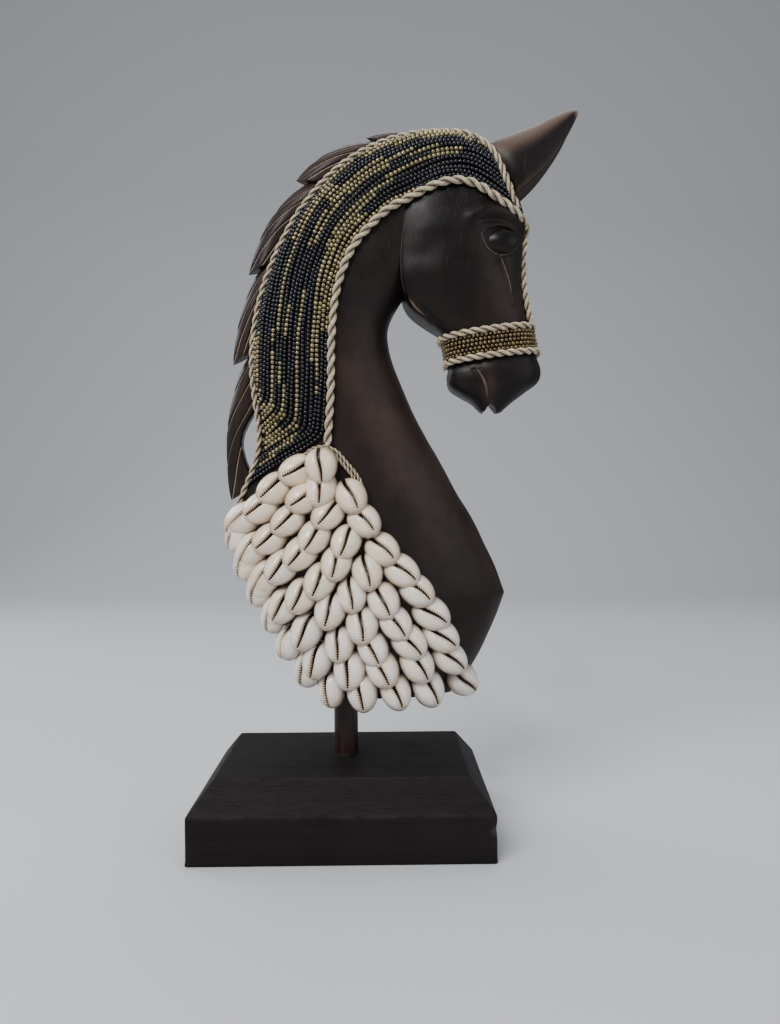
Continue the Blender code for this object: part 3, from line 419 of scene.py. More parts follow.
def blend(a, b, t):
    """The value or tuple that lies the share t of the way from a to b."""
    if isinstance(a, (int, float)):
        return a + (b - a) * t
    return tuple(x + (y - x) * t for x, y in zip(a, b))


def smooth_step(value):
    value = np.clip(value, 0.0, 1.0)
    return value * value * (3 - 2 * value)


def steps(count, last):
    """Even values from 0 to the last."""
    return [last * i / count for i in range(count + 1)]


def spline(rows, t):
    """A smooth curve through the rows, for t from 0 to the last row's number."""
    last = len(rows) - 1
    i = max(0, min(int(t), last - 1))
    f = t - i
    p1 = rows[i]
    p2 = rows[i + 1]
    p0 = rows[i - 1] if i > 0 else tuple(2 * a - b for a, b in zip(p1, p2))
    p3 = rows[i + 2] if i + 2 <= last else tuple(2 * b - a for a, b in zip(p1, p2))
    weights = (
        -0.5 * f**3 + f**2 - 0.5 * f,
        1.5 * f**3 - 2.5 * f**2 + 1.0,
        -1.5 * f**3 + 2.0 * f**2 + 0.5 * f,
        0.5 * f**3 - 0.5 * f**2,
    )
    return tuple(sum(w * v for w, v in zip(weights, vs)) for vs in zip(p0, p1, p2, p3))


def spline_with_corner(rows, corner, t):
    """The same curve with a sharp corner at one row."""
    if t <= corner:
        return spline(rows[:corner + 1], t)
    return spline(rows[corner:], t - corner)


def resample(points, step, closed=False):
    """Points at even distances along a line."""
    points = np.array([tuple(p) for p in points], dtype=float)
    if closed:
        points = np.vstack([points, points[:1]])
    lengths = arc_lengths(points)
    count = max(2, round(lengths[-1] / step))
    wanted = np.linspace(0.0, lengths[-1], count + 1)
    if closed:
        wanted = wanted[:-1]
    return np.stack([np.interp(wanted, lengths, points[:, k]) for k in range(3)], axis=1)


def curve_points(rows, step):
    return resample([spline(rows, t) for t in steps(20 * (len(rows) - 1), len(rows) - 1)], step)


def ease(points, passes, closed=False):
    """Take small kinks out of a line, with its ends held."""
    points = points.copy()
    for _ in range(passes):
        if closed:
            points = (np.roll(points, 1, axis=0) + 2 * points + np.roll(points, -1, axis=0)) / 4
        else:
            points[1:-1] = (points[:-2] + 2 * points[1:-1] + points[2:]) / 4
    return points


def arc_lengths(points):
    """How far along a line each of its points is."""
    return np.concatenate([[0.0], np.cumsum(np.linalg.norm(np.diff(points, axis=0), axis=1))])


def at_length(length, arc, rows):
    """The point or way that lies at a length along a line."""
    return np.array([np.interp(length, arc, rows[:, k]) for k in range(3)])


def circle(sides):
    """Cosine and sine of each of the even steps round a circle."""
    angles = [2 * math.pi * k / sides for k in range(sides)]
    return [(math.cos(angle), math.sin(angle)) for angle in angles]


def tangents(points, closed=False):
    if closed:
        along = np.roll(points, -1, axis=0) - np.roll(points, 1, axis=0)
    else:
        along = np.gradient(points, axis=0)
    return along / np.linalg.norm(along, axis=1)[:, None]


def unit(vectors):
    return vectors / np.maximum(np.linalg.norm(vectors, axis=-1, keepdims=True), 1e-9)


def mirrored(points):
    return np.asarray(points) * np.array([1.0, -1.0, 1.0])


# Meshes


def mesh_object(name, verts, faces, material, values=None):
    """A piece from points in millimetres, with any values that its material reads at each point."""
    mesh = bpy.data.meshes.new(name)
    mesh.from_pydata((np.asarray(verts) * MM).tolist(), [], faces)
    for label, data in (values or {}).items():
        data = np.asarray(data, dtype=np.float32)
        kind = "FLOAT" if data.ndim == 1 else "FLOAT_VECTOR"
        layer = mesh.attributes.new(label, kind, "POINT")
        layer.data.foreach_set("value" if data.ndim == 1 else "vector", data.ravel())
    mesh.polygons.foreach_set("use_smooth", [True] * len(mesh.polygons))
    mesh.materials.append(material)
    mesh.update()
    obj = bpy.data.objects.new(name, mesh)
    bpy.context.collection.objects.link(obj)
    return obj


def face_outward(obj):
    bm = bmesh.new()
    bm.from_mesh(obj.data)
    bmesh.ops.recalc_face_normals(bm, faces=bm.faces)
    if bm.calc_volume(signed=True) < 0:
        bmesh.ops.reverse_faces(bm, faces=bm.faces)
    bm.to_mesh(obj.data)
    bm.free()


def tube_faces(rings, sides, closed=False):
    """Faces between rings of points, with caps unless the tube is closed into a loop."""
    faces = []
    for i in range(rings if closed else rings - 1):
        a = i * sides
        b = ((i + 1) % rings) * sides
        for k in range(sides):
            n = (k + 1) % sides
            faces.append((a + k, a + n, b + n, b + k))
    if not closed:
        faces.append(tuple(range(sides))[::-1])
        faces.append(tuple((rings - 1) * sides + k for k in range(sides)))
    return faces


def moved_on(faces, start):
    """The faces for points that begin at another number."""
    return [tuple(v + start for v in face) for face in faces]


def outward_object(*parts):
    """A piece whose faces all look out."""
    obj = mesh_object(*parts)
    face_outward(obj)
    return obj


def finish_piece(obj, nodes, slot):
    """Let a piece ride on the body and stand for its solids. Its slot is not used."""
    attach(obj, "root")
    if nodes:
        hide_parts(*nodes)


# Carved surface


def power_ring(back, front, half, back_power, front_power, sides):
    """A rounded section between its back and its front, squarer for higher powers."""
    ring = []
    for k, (c, s) in enumerate(circle(sides)):
        power = front_power if c > 0 else back_power
        u = 0.5 + 0.5 * math.copysign(abs(c) ** (2 / power), c)
        y = half * math.copysign(abs(s) ** (2 / power), s) if k % (sides // 2) else 0.0
        x, z = blend(back, front, u)
        ring.append((x, y, z))
    return ring


def neck_ring(t, sides):
    bx, bz, fx, fz, half, sharp = spline_with_corner(NECK_SECTIONS, CHEST_CORNER, t)
    return power_ring((bx, bz), (fx, fz), half, NECK_BACK_POWER, sharp, sides)


def carved_neck_ring(t, sides):
    """A section of the neck whose chest corner shows at the front edge alone."""
    bx, bz, fx, fz, half, sharp = spline(NECK_SECTIONS, t)
    corner = spline_with_corner(NECK_SECTIONS, CHEST_CORNER, t)
    ring = []
    for x, y, z in power_ring((bx, bz), (fx, fz), half, NECK_BACK_POWER, sharp, sides):
        front = max(0.0, (x - bx) / (fx - bx)) ** 5
        ring.append((x + (corner[2] - fx) * front, y, z + (corner[3] - fz) * front))
    return ring


def head_ring(t, fine=6):
    """A section of the head, rounded between the corners of its half section."""
    jx, jz, nx, nz, half, muzzle = spline(HEAD_SECTIONS, t)
    corners = [blend(a, b, muzzle) for a, b in zip(CHEEK, MUZZLE)]
    half_ring = []
    for share in steps(fine * (len(corners) - 1), len(corners) - 1):
        u, v = spline(corners, share)
        x, z = blend((jx, jz), (nx, nz), min(1.0, max(0.0, u)))
        half_ring.append((x, half * v, z))
    return half_ring + [(x, -y, z) for x, y, z in half_ring[-2:0:-1]]


def grown(ring, distance):
    """The flat ring moved outward in its own plane."""
    points = np.array(ring)
    centre = points.mean(axis=0)
    axis = np.cross(points[len(points) // 4] - centre, points[len(points) // 2] - centre)
    out = np.cross(tangents(points, closed=True), unit(axis))
    out *= np.sign(np.sum(out * (points - centre), axis=1))[:, None]
    return points + ease(out, 4, closed=True) * distance


class Skin:
    """The bare neck and head that the trims lie on."""

    def __init__(self):
        faces = []
        verts = []
        for rings in (
            [neck_ring(t, SKIN_SIDES) for t in steps(120, len(NECK_SECTIONS) - 1)],
            [head_ring(t) for t in steps(90, len(HEAD_SECTIONS) - 1)],
        ):
            faces += moved_on(tube_faces(len(rings), len(rings[0])), len(verts))
            verts += [p for ring in rings for p in ring]
        self.tree = BVHTree.FromPolygons(verts, faces)
        middles = [np.mean(neck_ring(t, 16), axis=0) for t in steps(40, 15.2)]
        middles += [np.mean(head_ring(3 + s), axis=0) for s in steps(24, 12)]
        self.spine = np.array(middles)

    def cast(self, target, direction, reach):
        """The outermost wood on the line from the target, or the nearest, and the way out there."""
        point, normal, _, _ = self.tree.ray_cast(target + direction * reach, -direction)
        if point is None:
            point, normal, _, _ = self.tree.find_nearest(target + direction * reach)
        if normal.dot(direction) < 0:
            normal = -normal
        return point, normal

    def outward(self, point):
        """The middle of the wood near a point and the way out from it."""
        away = np.linalg.norm(self.spine - point, axis=1)
        weights = np.exp(-((away - away.min()) / 9.0) ** 2)
        centre = (self.spine * weights[:, None]).sum(axis=0) / weights.sum()
        return Vector(centre), (Vector(point) - Vector(centre)).normalized()

    def lift(self, points, height):
        """The line laid on the wood, its middle at a height, with the way out at each point."""
        laid = []
        outs = []
        for point in points:
            centre, direction = self.outward(point)
            hit, normal = self.cast(centre, direction, (Vector(point) - centre).length + 14.0)
            laid.append(hit + normal * height)
            outs.append(normal)
        return np.array([tuple(p) for p in laid]), np.array([tuple(n) for n in outs])


SKIN = Skin()


def stroke_distance(points, path):
    """Distance from each point to a path of straight stretches."""
    best = np.full(len(points), 1e9)
    for a, b in zip(path, path[1:]):
        run = b - a
        t = np.clip(((points - a) @ run) / (run @ run), 0.0, 1.0)
        best = np.minimum(best, np.linalg.norm(points - a - t[:, None] * run, axis=1))
    return best


def grid_normals(points):
    """Outward normals of a grid of rings."""
    around = np.roll(points, -1, axis=1) - np.roll(points, 1, axis=1)
    along = np.gradient(points, axis=0)
    normals = unit(np.cross(around, along))
    centre = points.mean(axis=1, keepdims=True)
    flip = np.sign((normals * (points - centre)).sum(axis=2).mean())
    return normals * flip


def ripple(points, scale, seed):
    """Soft unevenness that a hand tool leaves, from -1 to 1."""
    shift = Vector((seed * 7.3, seed * 3.1, seed * 5.7))
    return np.array([noise.noise(Vector(p) * scale + shift) for p in points.tolist()])


# Materials


def colour(value):
    return (*value, 1.0)


class Tree:
    """Short ways to add and join nodes."""

    def __init__(self, tree):
        self.tree = tree

    def add(self, kind, inputs=(), **settings):
        item = self.tree.nodes.new(kind)
        for key, value in settings.items():
            setattr(item, key, value)
        for key, value in dict(inputs).items():
            self.put(item.inputs[key], value)
        return item

    def put(self, socket, value):
        if isinstance(value, bpy.types.NodeSocket):
            self.tree.links.new(value, socket)
        else:
            socket.default_value = value

    def math(self, operation, a, b=0.0):
        return self.add("ShaderNodeMath", {0: a, 1: b}, operation=operation).outputs[0]

    def plus(self, a, b):
        return self.math("ADD", a, b)

    def times(self, a, b):
        return self.math("MULTIPLY", a, b)

    def mix(self, share, a, b):
        item = self.add("ShaderNodeMix", data_type="RGBA")
        self.put(item.inputs[0], share)
        self.put(item.inputs[6], a)
        self.put(item.inputs[7], b)
        return item.outputs[2]

    def noise(self, vector, scale, detail=3.0, rough=0.5):
        inputs = {"Vector": vector, "Scale": scale, "Detail": detail, "Roughness": rough}
        return self.add("ShaderNodeTexNoise", inputs).outputs["Fac"]

    def stretch(self, vector, scale):
        return self.add("ShaderNodeMapping", {"Vector": vector, "Scale": scale}).outputs[0]

    def span(self, value, low, high, out_low=0.0, out_high=1.0):
        inputs = {"Value": value, "From Min": low, "From Max": high, "To Min": out_low, "To Max": out_high}
        return self.add("ShaderNodeMapRange", inputs).outputs["Result"]

    def limit(self, value):
        return self.add("ShaderNodeClamp", {"Value": value}).outputs[0]

    def place(self):
        return self.add("ShaderNodeTexCoord").outputs["Object"]

    def value(self, name):
        return self.add("ShaderNodeAttribute", attribute_name=name).outputs["Fac"]

    def vector(self, name):
        return self.add("ShaderNodeAttribute", attribute_name=name).outputs["Vector"]


def new_group(name, inputs, outputs):
    """A node group with its tree and its own inputs and outputs."""
    group = bpy.data.node_groups.new(name, "ShaderNodeTree")
    for label, kind, default in inputs:
        socket = group.interface.new_socket(name=label, in_out="INPUT", socket_type=kind)
        socket.default_value = default
    for label, kind in outputs:
        group.interface.new_socket(name=label, in_out="OUTPUT", socket_type=kind)
    tree = Tree(group)
    entry = tree.add("NodeGroupInput").outputs
    leave = tree.add("NodeGroupOutput").inputs
    return group, tree, entry, leave


def wood_group():
    """Stained wood: fine grain, thin patches, and cut edges where the stain is rubbed off; its rub and paleness
    inputs also carry painted light.
    """
    found = bpy.data.node_groups.get("Stained wood")
    if found:
        return found
    group, tree, entry, leave = new_group(
        "Stained wood",
        [
            ("Stain", "NodeSocketColor", (0.02, 0.012, 0.01, 1.0)),
            ("Rubbed and lit", "NodeSocketColor", (0.07, 0.04, 0.025, 1.0)),
            ("Cut", "NodeSocketColor", (0.3, 0.16, 0.08, 1.0)),
            ("Rub and light", "NodeSocketFloat", 0.0),
            ("Paleness", "NodeSocketFloat", 0.0),
            ("Grain stretch", "NodeSocketVector", (1.0, 1.0, 0.05)),
            ("Grain contrast", "NodeSocketFloat", 0.5),
        ],
        [("Colour", "NodeSocketColor"), ("Roughness", "NodeSocketFloat"), ("Height", "NodeSocketFloat")],
    )
    place = tree.place()
    stretched = tree.add("ShaderNodeVectorMath", {0: place, 1: entry["Grain stretch"]}, operation="MULTIPLY")
    stretched = stretched.outputs[0]
    streaks = tree.noise(stretched, 900.0, 4.0, 0.65)
    wide = tree.noise(stretched, 160.0, 3.0, 0.55)
    pores = tree.span(tree.noise(stretched, 2100.0, 2.0, 0.6), 0.60, 0.74)
    patches = tree.span(tree.noise(place, 22.0, 4.0, 0.6), 0.35, 0.72)
    # The rub input also carries painted light: a highlight on the brow ridge and the lighter upper halves of the
    # ears.
    rub = tree.times(entry["Rub and light"], tree.plus(tree.times(patches, 0.75), 0.35))
    rub = tree.plus(rub, tree.times(patches, 0.10))
    grain = tree.plus(tree.times(streaks, 0.6), tree.times(wide, 0.6))
    grain = tree.math("SUBTRACT", grain, 0.6)
    rub = tree.plus(rub, tree.times(grain, entry["Grain contrast"]))
    shade = tree.mix(tree.limit(rub), entry["Stain"], entry["Rubbed and lit"])
    shade = tree.mix(tree.times(pores, 0.4), shade, entry["Stain"])
    pale = tree.limit(tree.times(entry["Paleness"], tree.span(streaks, 0.25, 0.6, 0.55, 1.0)))
    shade = tree.mix(pale, shade, entry["Cut"])
    rough = tree.span(tree.noise(place, 45.0, 3.0, 0.6), 0.3, 0.7, 0.33, 0.46)
    rough = tree.plus(rough, tree.times(pores, 0.10))
    height = tree.math("SUBTRACT", tree.times(streaks, 0.5), tree.times(pores, 0.6))
    tree.put(leave["Colour"], shade)
    tree.put(leave["Roughness"], tree.plus(rough, tree.times(pale, 0.15)))
    tree.put(leave["Height"], height)
    return group


def new_material(name):
    material = bpy.data.materials.new(name)
    material.use_nodes = True
    tree = Tree(material.node_tree)
    shader = material.node_tree.nodes["Principled BSDF"]
    return material, tree, shader


def set_inputs(tree, node, looks):
    """Set a node's inputs, each to a value or to what another node gives."""
    for label, look in looks.items():
        tree.put(node.inputs[label], look)


def add_bump(tree, shader, height, distance):
    bump = tree.add("ShaderNodeBump", {"Distance": distance, "Height": height})
    tree.put(shader.inputs["Normal"], bump.outputs["Normal"])


def kept(name):
    return bpy.data.materials.get(name)


def wood_material(name, stain, rubbed_and_lit, stretch, contrast, gloss, rougher=0.0, bump=0.00008):
    """Stained wood that reads how rubbed and how pale each point is, and where light is painted on."""
    if kept(name):
        return kept(name)
    material, tree, shader = new_material(name)
    group = tree.add("ShaderNodeGroup", node_tree=wood_group())
    set_inputs(tree, group, {
        "Stain": colour(stain),
        "Rubbed and lit": colour(rubbed_and_lit),
        "Cut": colour(bpy.context.scene.sculpture_colours.cut),
        "Grain stretch": stretch,
        "Grain contrast": contrast,
        "Rub and light": tree.value("rub"),
        "Paleness": tree.value("pale"),
    })
    set_inputs(tree, shader, {
        "Base Color": group.outputs["Colour"],
        "Roughness": tree.plus(group.outputs["Roughness"], rougher),
        "Specular IOR Level": gloss,
    })
    add_bump(tree, shader, group.outputs["Height"], bump)
    return material


def carved_wood():
    colours = bpy.context.scene.sculpture_colours
    return wood_material(
        "Stained carved wood", colours.stain, colours.rubbed_and_lit, stretch=(1.0, 1.0, 0.05), contrast=0.27, gloss=0.18)


def raffia_material():
    """Twisted raffia: fibres along each ply, with painted shade between the plies."""
    if kept("Raffia cord"):
        return kept("Raffia cord")
    material, tree, shader = new_material("Raffia cord")
    base = bpy.context.scene.sculpture_colours.raffia
    fibre = tree.vector("fibre")
    strands = tree.noise(tree.stretch(fibre, (9.0, 0.35, 3.0)), 1.0, 3.0, 0.6)
    blotch = tree.noise(tree.place(), 160.0, 2.0, 0.5)
    dark = colour(tuple(v * 0.30 for v in base))
    light = colour(tuple(min(1.0, v * 1.3) for v in base))
    shade = tree.mix(tree.span(strands, 0.3, 0.7), dark, light)
    shade = tree.mix(tree.span(blotch, 0.4, 0.7, 0.0, 0.35), shade, colour((0.30, 0.21, 0.12)))
    # Painted shade: dark brown on the inner side of each ply, where the plies meet.
    around = tree.add("ShaderNodeSeparateXYZ", {0: fibre}).outputs[0]
    shade = tree.mix(tree.span(around, 0.12, 0.36, 0.9, 0.0), shade, colour((0.045, 0.028, 0.016)))
    set_inputs(tree, shader, {"Base Color": shade, "Roughness": 0.72, "Sheen Weight": 0.15})
    add_bump(tree, shader, strands, 0.0006)
    return material


def bead_material(name, base, metallic, low_rough, high_rough, spread):
    """Glass beads, each its own shade."""
    if kept(name):
        return kept(name)
    material, tree, shader = new_material(name)
    tint = tree.value("tint")
    dark = colour(tuple(v * (1 - spread) for v in base))
    light = colour(tuple(min(1.0, v * (1 + spread)) for v in base))
    shade = tree.mix(tint, dark, light)
    speck = tree.noise(tree.place(), 900.0, 2.0, 0.6)
    shade = tree.mix(tree.span(speck, 0.35, 0.75, 0.0, 0.35), shade, dark)
    rough = tree.span(tint, 0.0, 1.0, low_rough, high_rough)
    set_inputs(tree, shader, {"Base Color": shade, "Roughness": rough, "Metallic": metallic})
    add_bump(tree, shader, speck, 0.00005)
    return material


def gold_beads():
    return bead_material("Gold beads", bpy.context.scene.sculpture_colours.gold, *GOLD_GLASS)


def bronze_beads():
    """The noseband's beads, darker than the gold ones of the neck."""
    base = tuple(v * share for v, share in zip(bpy.context.scene.sculpture_colours.gold, BRONZE_SHARE))
    return bead_material("Bronze beads", base, *GOLD_GLASS)


def black_beads():
    return bead_material("Black beads", bpy.context.scene.sculpture_colours.black, *BLACK_GLASS)


def cowrie_material():
    """Cream shell with fine teeth on both sides of its slot, and painted shade in the slot, between the teeth, round
    its edges and at its upper end.
    """
    if kept("Cowrie"):
        return kept("Cowrie")
    material, tree, shader = new_material("Cowrie")
    base = bpy.context.scene.sculpture_colours.shell
    spot = tree.add("ShaderNodeSeparateXYZ", {0: tree.vector("spot")}).outputs
    along, across, tint = spot[0], spot[1], spot[2]
    away = tree.math("ABSOLUTE", across)
    slant = tree.plus(along, tree.times(away, 0.22))
    waves = tree.math("SINE", tree.times(slant, 4.3))
    reach = tree.span(away, 0.8, 3.4, 1.0, 0.0)
    lower = tree.span(along, 10.0, 11.4, 1.0, 0.0)
    ends = tree.times(lower, tree.span(along, -12.2, -11.2))
    teeth = tree.times(tree.times(tree.span(waves, -0.1, 0.9), reach), ends)
    blotch = tree.noise(tree.place(), 70.0, 3.0, 0.55)
    warm = colour((base[0] * 0.88, base[1] * 0.74, base[2] * 0.55))
    cool = colour((base[0] * 0.98, base[1] * 1.02, base[2] * 1.10))
    cream = colour((base[0] * 1.02, base[1] * 0.96, base[2] * 0.85))
    shade = tree.mix(tint, cream, cool)
    shade = tree.mix(tree.span(blotch, 0.42, 0.72, 0.0, 0.5), shade, warm)
    rim = tree.span(away, 0.8, 3.2, 0.6, 0.0)
    shade = tree.mix(tree.times(rim, ends), shade, warm)
    # Painted shade: dark brown in the grooves between the teeth, which the bump also sinks.
    shade = tree.mix(tree.times(teeth, 0.62), shade, colour((0.24, 0.14, 0.085)))
    # Painted shade: darker brown towards the shell's outer edges, where the shells meet and overlap.
    sideways = tree.math("POWER", tree.times(away, 0.1), 2.0)
    lengthways = tree.math("POWER", tree.times(tree.math("ABSOLUTE", along), 0.078), 2.0)
    outer = tree.plus(sideways, lengthways)
    shade = tree.mix(tree.span(outer, 0.6, 1.0, 0.0, 0.8), shade, colour((0.27, 0.185, 0.125)))
    # Painted shade: darker towards the shell's upper end, which lies under the shell above.
    shade = tree.mix(tree.span(along, -11.5, -5.0, 0.5, 0.0), shade, colour((0.30, 0.22, 0.16)))
    # Painted shade: the slot is painted near black, as the shadow inside the shell's opening.
    gape = tree.span(along, -11.0, 10.5, 1.25, 0.5)
    ragged = tree.plus(gape, tree.times(waves, 0.26))
    slot = tree.times(tree.math("LESS_THAN", away, ragged), tree.math("GREATER_THAN", ends, 0.5))
    shade = tree.mix(slot, shade, colour((0.010, 0.006, 0.005)))
    set_inputs(tree, shader, {
        "Base Color": shade,
        "Roughness": tree.span(blotch, 0.3, 0.7, 0.16, 0.30),
        "Coat Weight": 0.6,
        "Coat Roughness": 0.08,
        "Subsurface Weight": 0.06,
        "Subsurface Radius": (0.004, 0.0025, 0.0015),
    })
    add_bump(tree, shader, tree.times(teeth, -1.0), 0.0005)
    return material


def eye_material():
    if kept("Polished eye"):
        return kept("Polished eye")
    material, tree, shader = new_material("Polished eye")
    height = tree.value("lift")
    blotch = tree.noise(tree.place(), 500.0, 3.0, 0.6)
    # Painted light and shade: the ball is painted lighter and redder at its bottom and darker towards its top, as
    # painted shade under the brow.
    shade = tree.mix(tree.span(height, -0.9, 0.2), colour((0.012, 0.006, 0.005)), colour((0.0035, 0.0025, 0.003)))
    # Painted highlight: brown flecks over the top of the ball.
    painted_highlight_flecks = tree.times(tree.span(blotch, 0.45, 0.75, 0.0, 0.5), tree.span(height, 0.35, 0.95))
    shade = tree.mix(painted_highlight_flecks, shade, colour((0.11, 0.06, 0.045)))
    rough = tree.span(blotch, 0.3, 0.7, 0.26, 0.4)
    set_inputs(tree, shader, {"Base Color": shade, "Roughness": rough, "Specular IOR Level": 0.2})
    return material


def floor_material():
    if kept("Plain floor"):
        return kept("Plain floor")
    material, tree, shader = new_material("Plain floor")
    clouds = tree.span(tree.noise(tree.place(), 3.0, 3.0, 0.5), 0.3, 0.7, 0.0, 0.06)
    shade = tree.mix(clouds, colour(bpy.context.scene.sculpture_colours.floor), colour((0.5, 0.5, 0.5)))
    set_inputs(tree, shader, {"Base Color": shade, "Roughness": 0.85})
    return material


def glue_material():
    if kept("Dried glue"):
        return kept("Dried glue")
    material, tree, shader = new_material("Dried glue")
    blotch = tree.noise(tree.place(), 300.0, 3.0, 0.6)
    shade = tree.mix(blotch, colour((0.005, 0.0035, 0.003)), colour((0.016, 0.011, 0.009)))
    rough = tree.span(blotch, 0.3, 0.7, 0.6, 0.8)
    set_inputs(tree, shader, {"Base Color": shade, "Roughness": rough, "Specular IOR Level": 0.08})
    add_bump(tree, shader, blotch, 0.0004)
    return material


# Wood


def neck_rub(points):
    """Where handling has thinned the stain on the neck: down its front and middle."""
    x, _, z = points.T
    front = np.interp(z, [86, 150, 200, 250, 300, 345, 443], [76, 100, 82, 52, 32, 38, 100])
    middle = np.exp(-((x - (front - 26)) / 17) ** 2) * smooth_step((z - 150) / 60) * smooth_step((330 - z) / 50)
    edge = np.exp(-((x - front) / 5) ** 2) * 0.5 * smooth_step((z - 100) / 60) * smooth_step((330 - z) / 40)
    return np.clip(0.6 * middle + edge + 0.24, 0, 1)


def make_neck():
    """The neck and chest, slightly uneven from the knife."""
    rings = np.array([carved_neck_ring(t, NECK_SIDES) for t in steps(NECK_RINGS, len(NECK_SECTIONS) - 1)])
    points = rings.reshape(-1, 3)
    normals = grid_normals(rings).reshape(-1, 3)
    uneven = ripple(points, 0.045, 1) * 0.45 + ripple(points * np.array([1, 1, 0.35]), 0.16, 2) * 0.16
    points = points + normals * uneven[:, None]
    values = {"rub": neck_rub(points), "pale": np.zeros(len(points))}
    return mesh_object("neck", points, tube_faces(NECK_RINGS + 1, NECK_SIDES), carved_wood(), values)


def make_head():
    """The head with its brow, eye sockets, cuts and mouth notch."""
    rings = [head_ring(t, HEAD_FINE) for t in steps(HEAD_RINGS, len(HEAD_SECTIONS) - 1)]
    last = np.array(rings[-1])
    middle = last.mean(axis=0)
    for share, drop in LIP_ROUNDING:
        rings.append(middle + (last - middle) * share - np.array([0.0, 0.0, drop]))
    rings = np.array(rings)
    points = rings.reshape(-1, 3)
    normals = grid_normals(rings).reshape(-1, 3)
    folded = np.abs(points * np.array([0, 1, 0])) + points * np.array([1, 0, 1])
    move = ripple(points, 0.05, 3) * 0.75 + ripple(points, 0.12, 4) * 0.2
    pale = np.zeros(len(points))
    for path, half_width, depth, paleness in HEAD_STROKES:
        away = stroke_distance(folded, curve_points(path, 2.5))
        weight = smooth_step(1 - away / half_width)
        move -= weight * depth
        pale = np.maximum(pale, paleness * smooth_step(1.3 - away / max(0.9, half_width * 0.8)))
    ex, ez = EYE_CENTRE
    wide, tall, deep = EYE_SOCKET
    outside = np.hypot((points[:, 0] - ex) / wide, (points[:, 2] - ez) / tall)
    socket = smooth_step(1.25 - outside) * (folded[:, 1] > 12)
    move -= socket * deep
    points = points + normals * move[:, None]
    nx, nz = MOUTH_NOTCH
    notch = nz - np.abs(points[:, 0] - nx) / (MOUTH_NOTCH_WIDTH / 2) * (nz - MOUTH_NOTCH_FOOT)
    cut = points[:, 2] < notch
    points[cut, 2] = notch[cut]
    x, _, z = points.T
    # Rubbed patches lighten the stain, and the brow's patch is a painted highlight on its ridge.
    rub = sum(
        strength * np.exp(-(((x - cx) / half_x) ** 2 + ((z - cz) / half_z) ** 2))
        for cx, cz, half_x, half_z, strength in HEAD_RUB_AND_HIGHLIGHT
    )
    values = {"rub": np.clip(rub, 0, 1), "pale": np.clip(pale, 0, 1)}
    return mesh_object("head", points, tube_faces(*rings.shape[:2]), carved_wood(), values)


def lock_root(lock):
    """One more section that carries a lock on under the one above it."""
    back, inside = LOCK_ROOT
    first = np.array(lock[0])
    onward = unit(first[:2] - np.array(lock[1][:2])) * back
    inward = unit(first[2:] - first[:2]) * inside
    return tuple(first + np.concatenate([onward + inward, onward]))


def groove_stations(first, end, pitch, lean):
    """Where the rings of a lock start along its outer edge, close together at each groove."""
    stations = []
    groove = first
    while groove < end:
        stations += [groove + lean * away for away in NEAR_GROOVE]
        stations += [groove + pitch * share for share in BETWEEN_GROOVES]
        groove += pitch
    return sorted(s for s in stations if 0 <= s <= end)


def lock_ring(lock, arc, start, half, pitch, slant):
    """A section of a lock that leans with its grooves. Each point also says how pale and how rubbed it is."""
    strand = ((start - arc[-1]) / pitch) % 1.0
    near = (strand - 1 if strand > 0.5 else strand) * pitch / math.hypot(1, slant)
    cut_in = math.exp(-(near / 0.45) ** 2)
    ring = []
    for angle in steps(LOCK_SIDES, math.pi / 2):
        u = 1 - math.cos(angle)
        length = start
        for _ in range(4):
            ox, oz, ix, iz = spline(lock, np.interp(length, arc, steps(LOCK_STEPS, len(lock) - 1)))
            width = math.hypot(ix - ox, iz - oz)
            length = min(max(start - slant * u * width, 0.0), arc[-1])
        inward = u * width
        thick = half * (1 - (1 - min(1.0, inward / 12.0)) ** 1.7)
        thick += 0.45 * (1 - strand) * min(1.0, inward / 3.0)
        thick = max(0.0, thick - 1.1 * cut_in * min(1.0, inward / 1.5))
        edge = 0.5 * math.exp(-(near / 1.1) ** 2) * max(0.0, 1 - inward / 4.0)
        x, z = blend((ox, oz), (ix, iz), u + edge / width)
        pale_line = math.exp(-((near - 0.55) / 0.42) ** 2) * min(1.0, inward / 0.8)
        ring.append((x, thick, z, pale_line, 0.25 + 0.2 * strand))
    return ring + [(x, -y, z, a, b) for x, y, z, a, b in ring[:0:-1]]


def make_mane():
    """The locks of the mane, grooved into strands with pale cuts between them."""
    all_points = []
    all_faces = []
    rub = []
    pale = []
    for lock, half, pitch, slant in zip(MANE_LOCKS, LOCK_HALF_THICKNESS, LOCK_GROOVE_PITCH, LOCK_GROOVE_SLANT):
        if lock is not MANE_LOCKS[0]:
            lock = [lock_root(lock)] + lock
        arc = arc_lengths(np.array([spline(lock, t)[:2] for t in steps(LOCK_STEPS, len(lock) - 1)]))
        widest = max(math.hypot(row[2] - row[0], row[3] - row[1]) for row in lock)
        first = arc[-1] - pitch * math.ceil(arc[-1] / pitch)
        stations = groove_stations(first, arc[-1] + slant * widest, pitch, math.hypot(1, slant))
        rings = [lock_ring(lock, arc, start, half, pitch, slant) for start in stations]
        grid = np.array(rings)
        all_faces += moved_on(tube_faces(*grid.shape[:2]), sum(len(p) for p in all_points))
        flat = grid.reshape(-1, 5)
        all_points.append(flat[:, :3])
        high = smooth_step((flat[:, 2] - 330.0) / 90.0)
        pale.append(flat[:, 3] * (0.85 + 0.15 * high))
        rub.append(flat[:, 4] + 0.30 * high)
    values = {"rub": np.concatenate(rub), "pale": np.concatenate(pale)}
    return outward_object("mane", np.vstack(all_points), all_faces, carved_wood(), values)


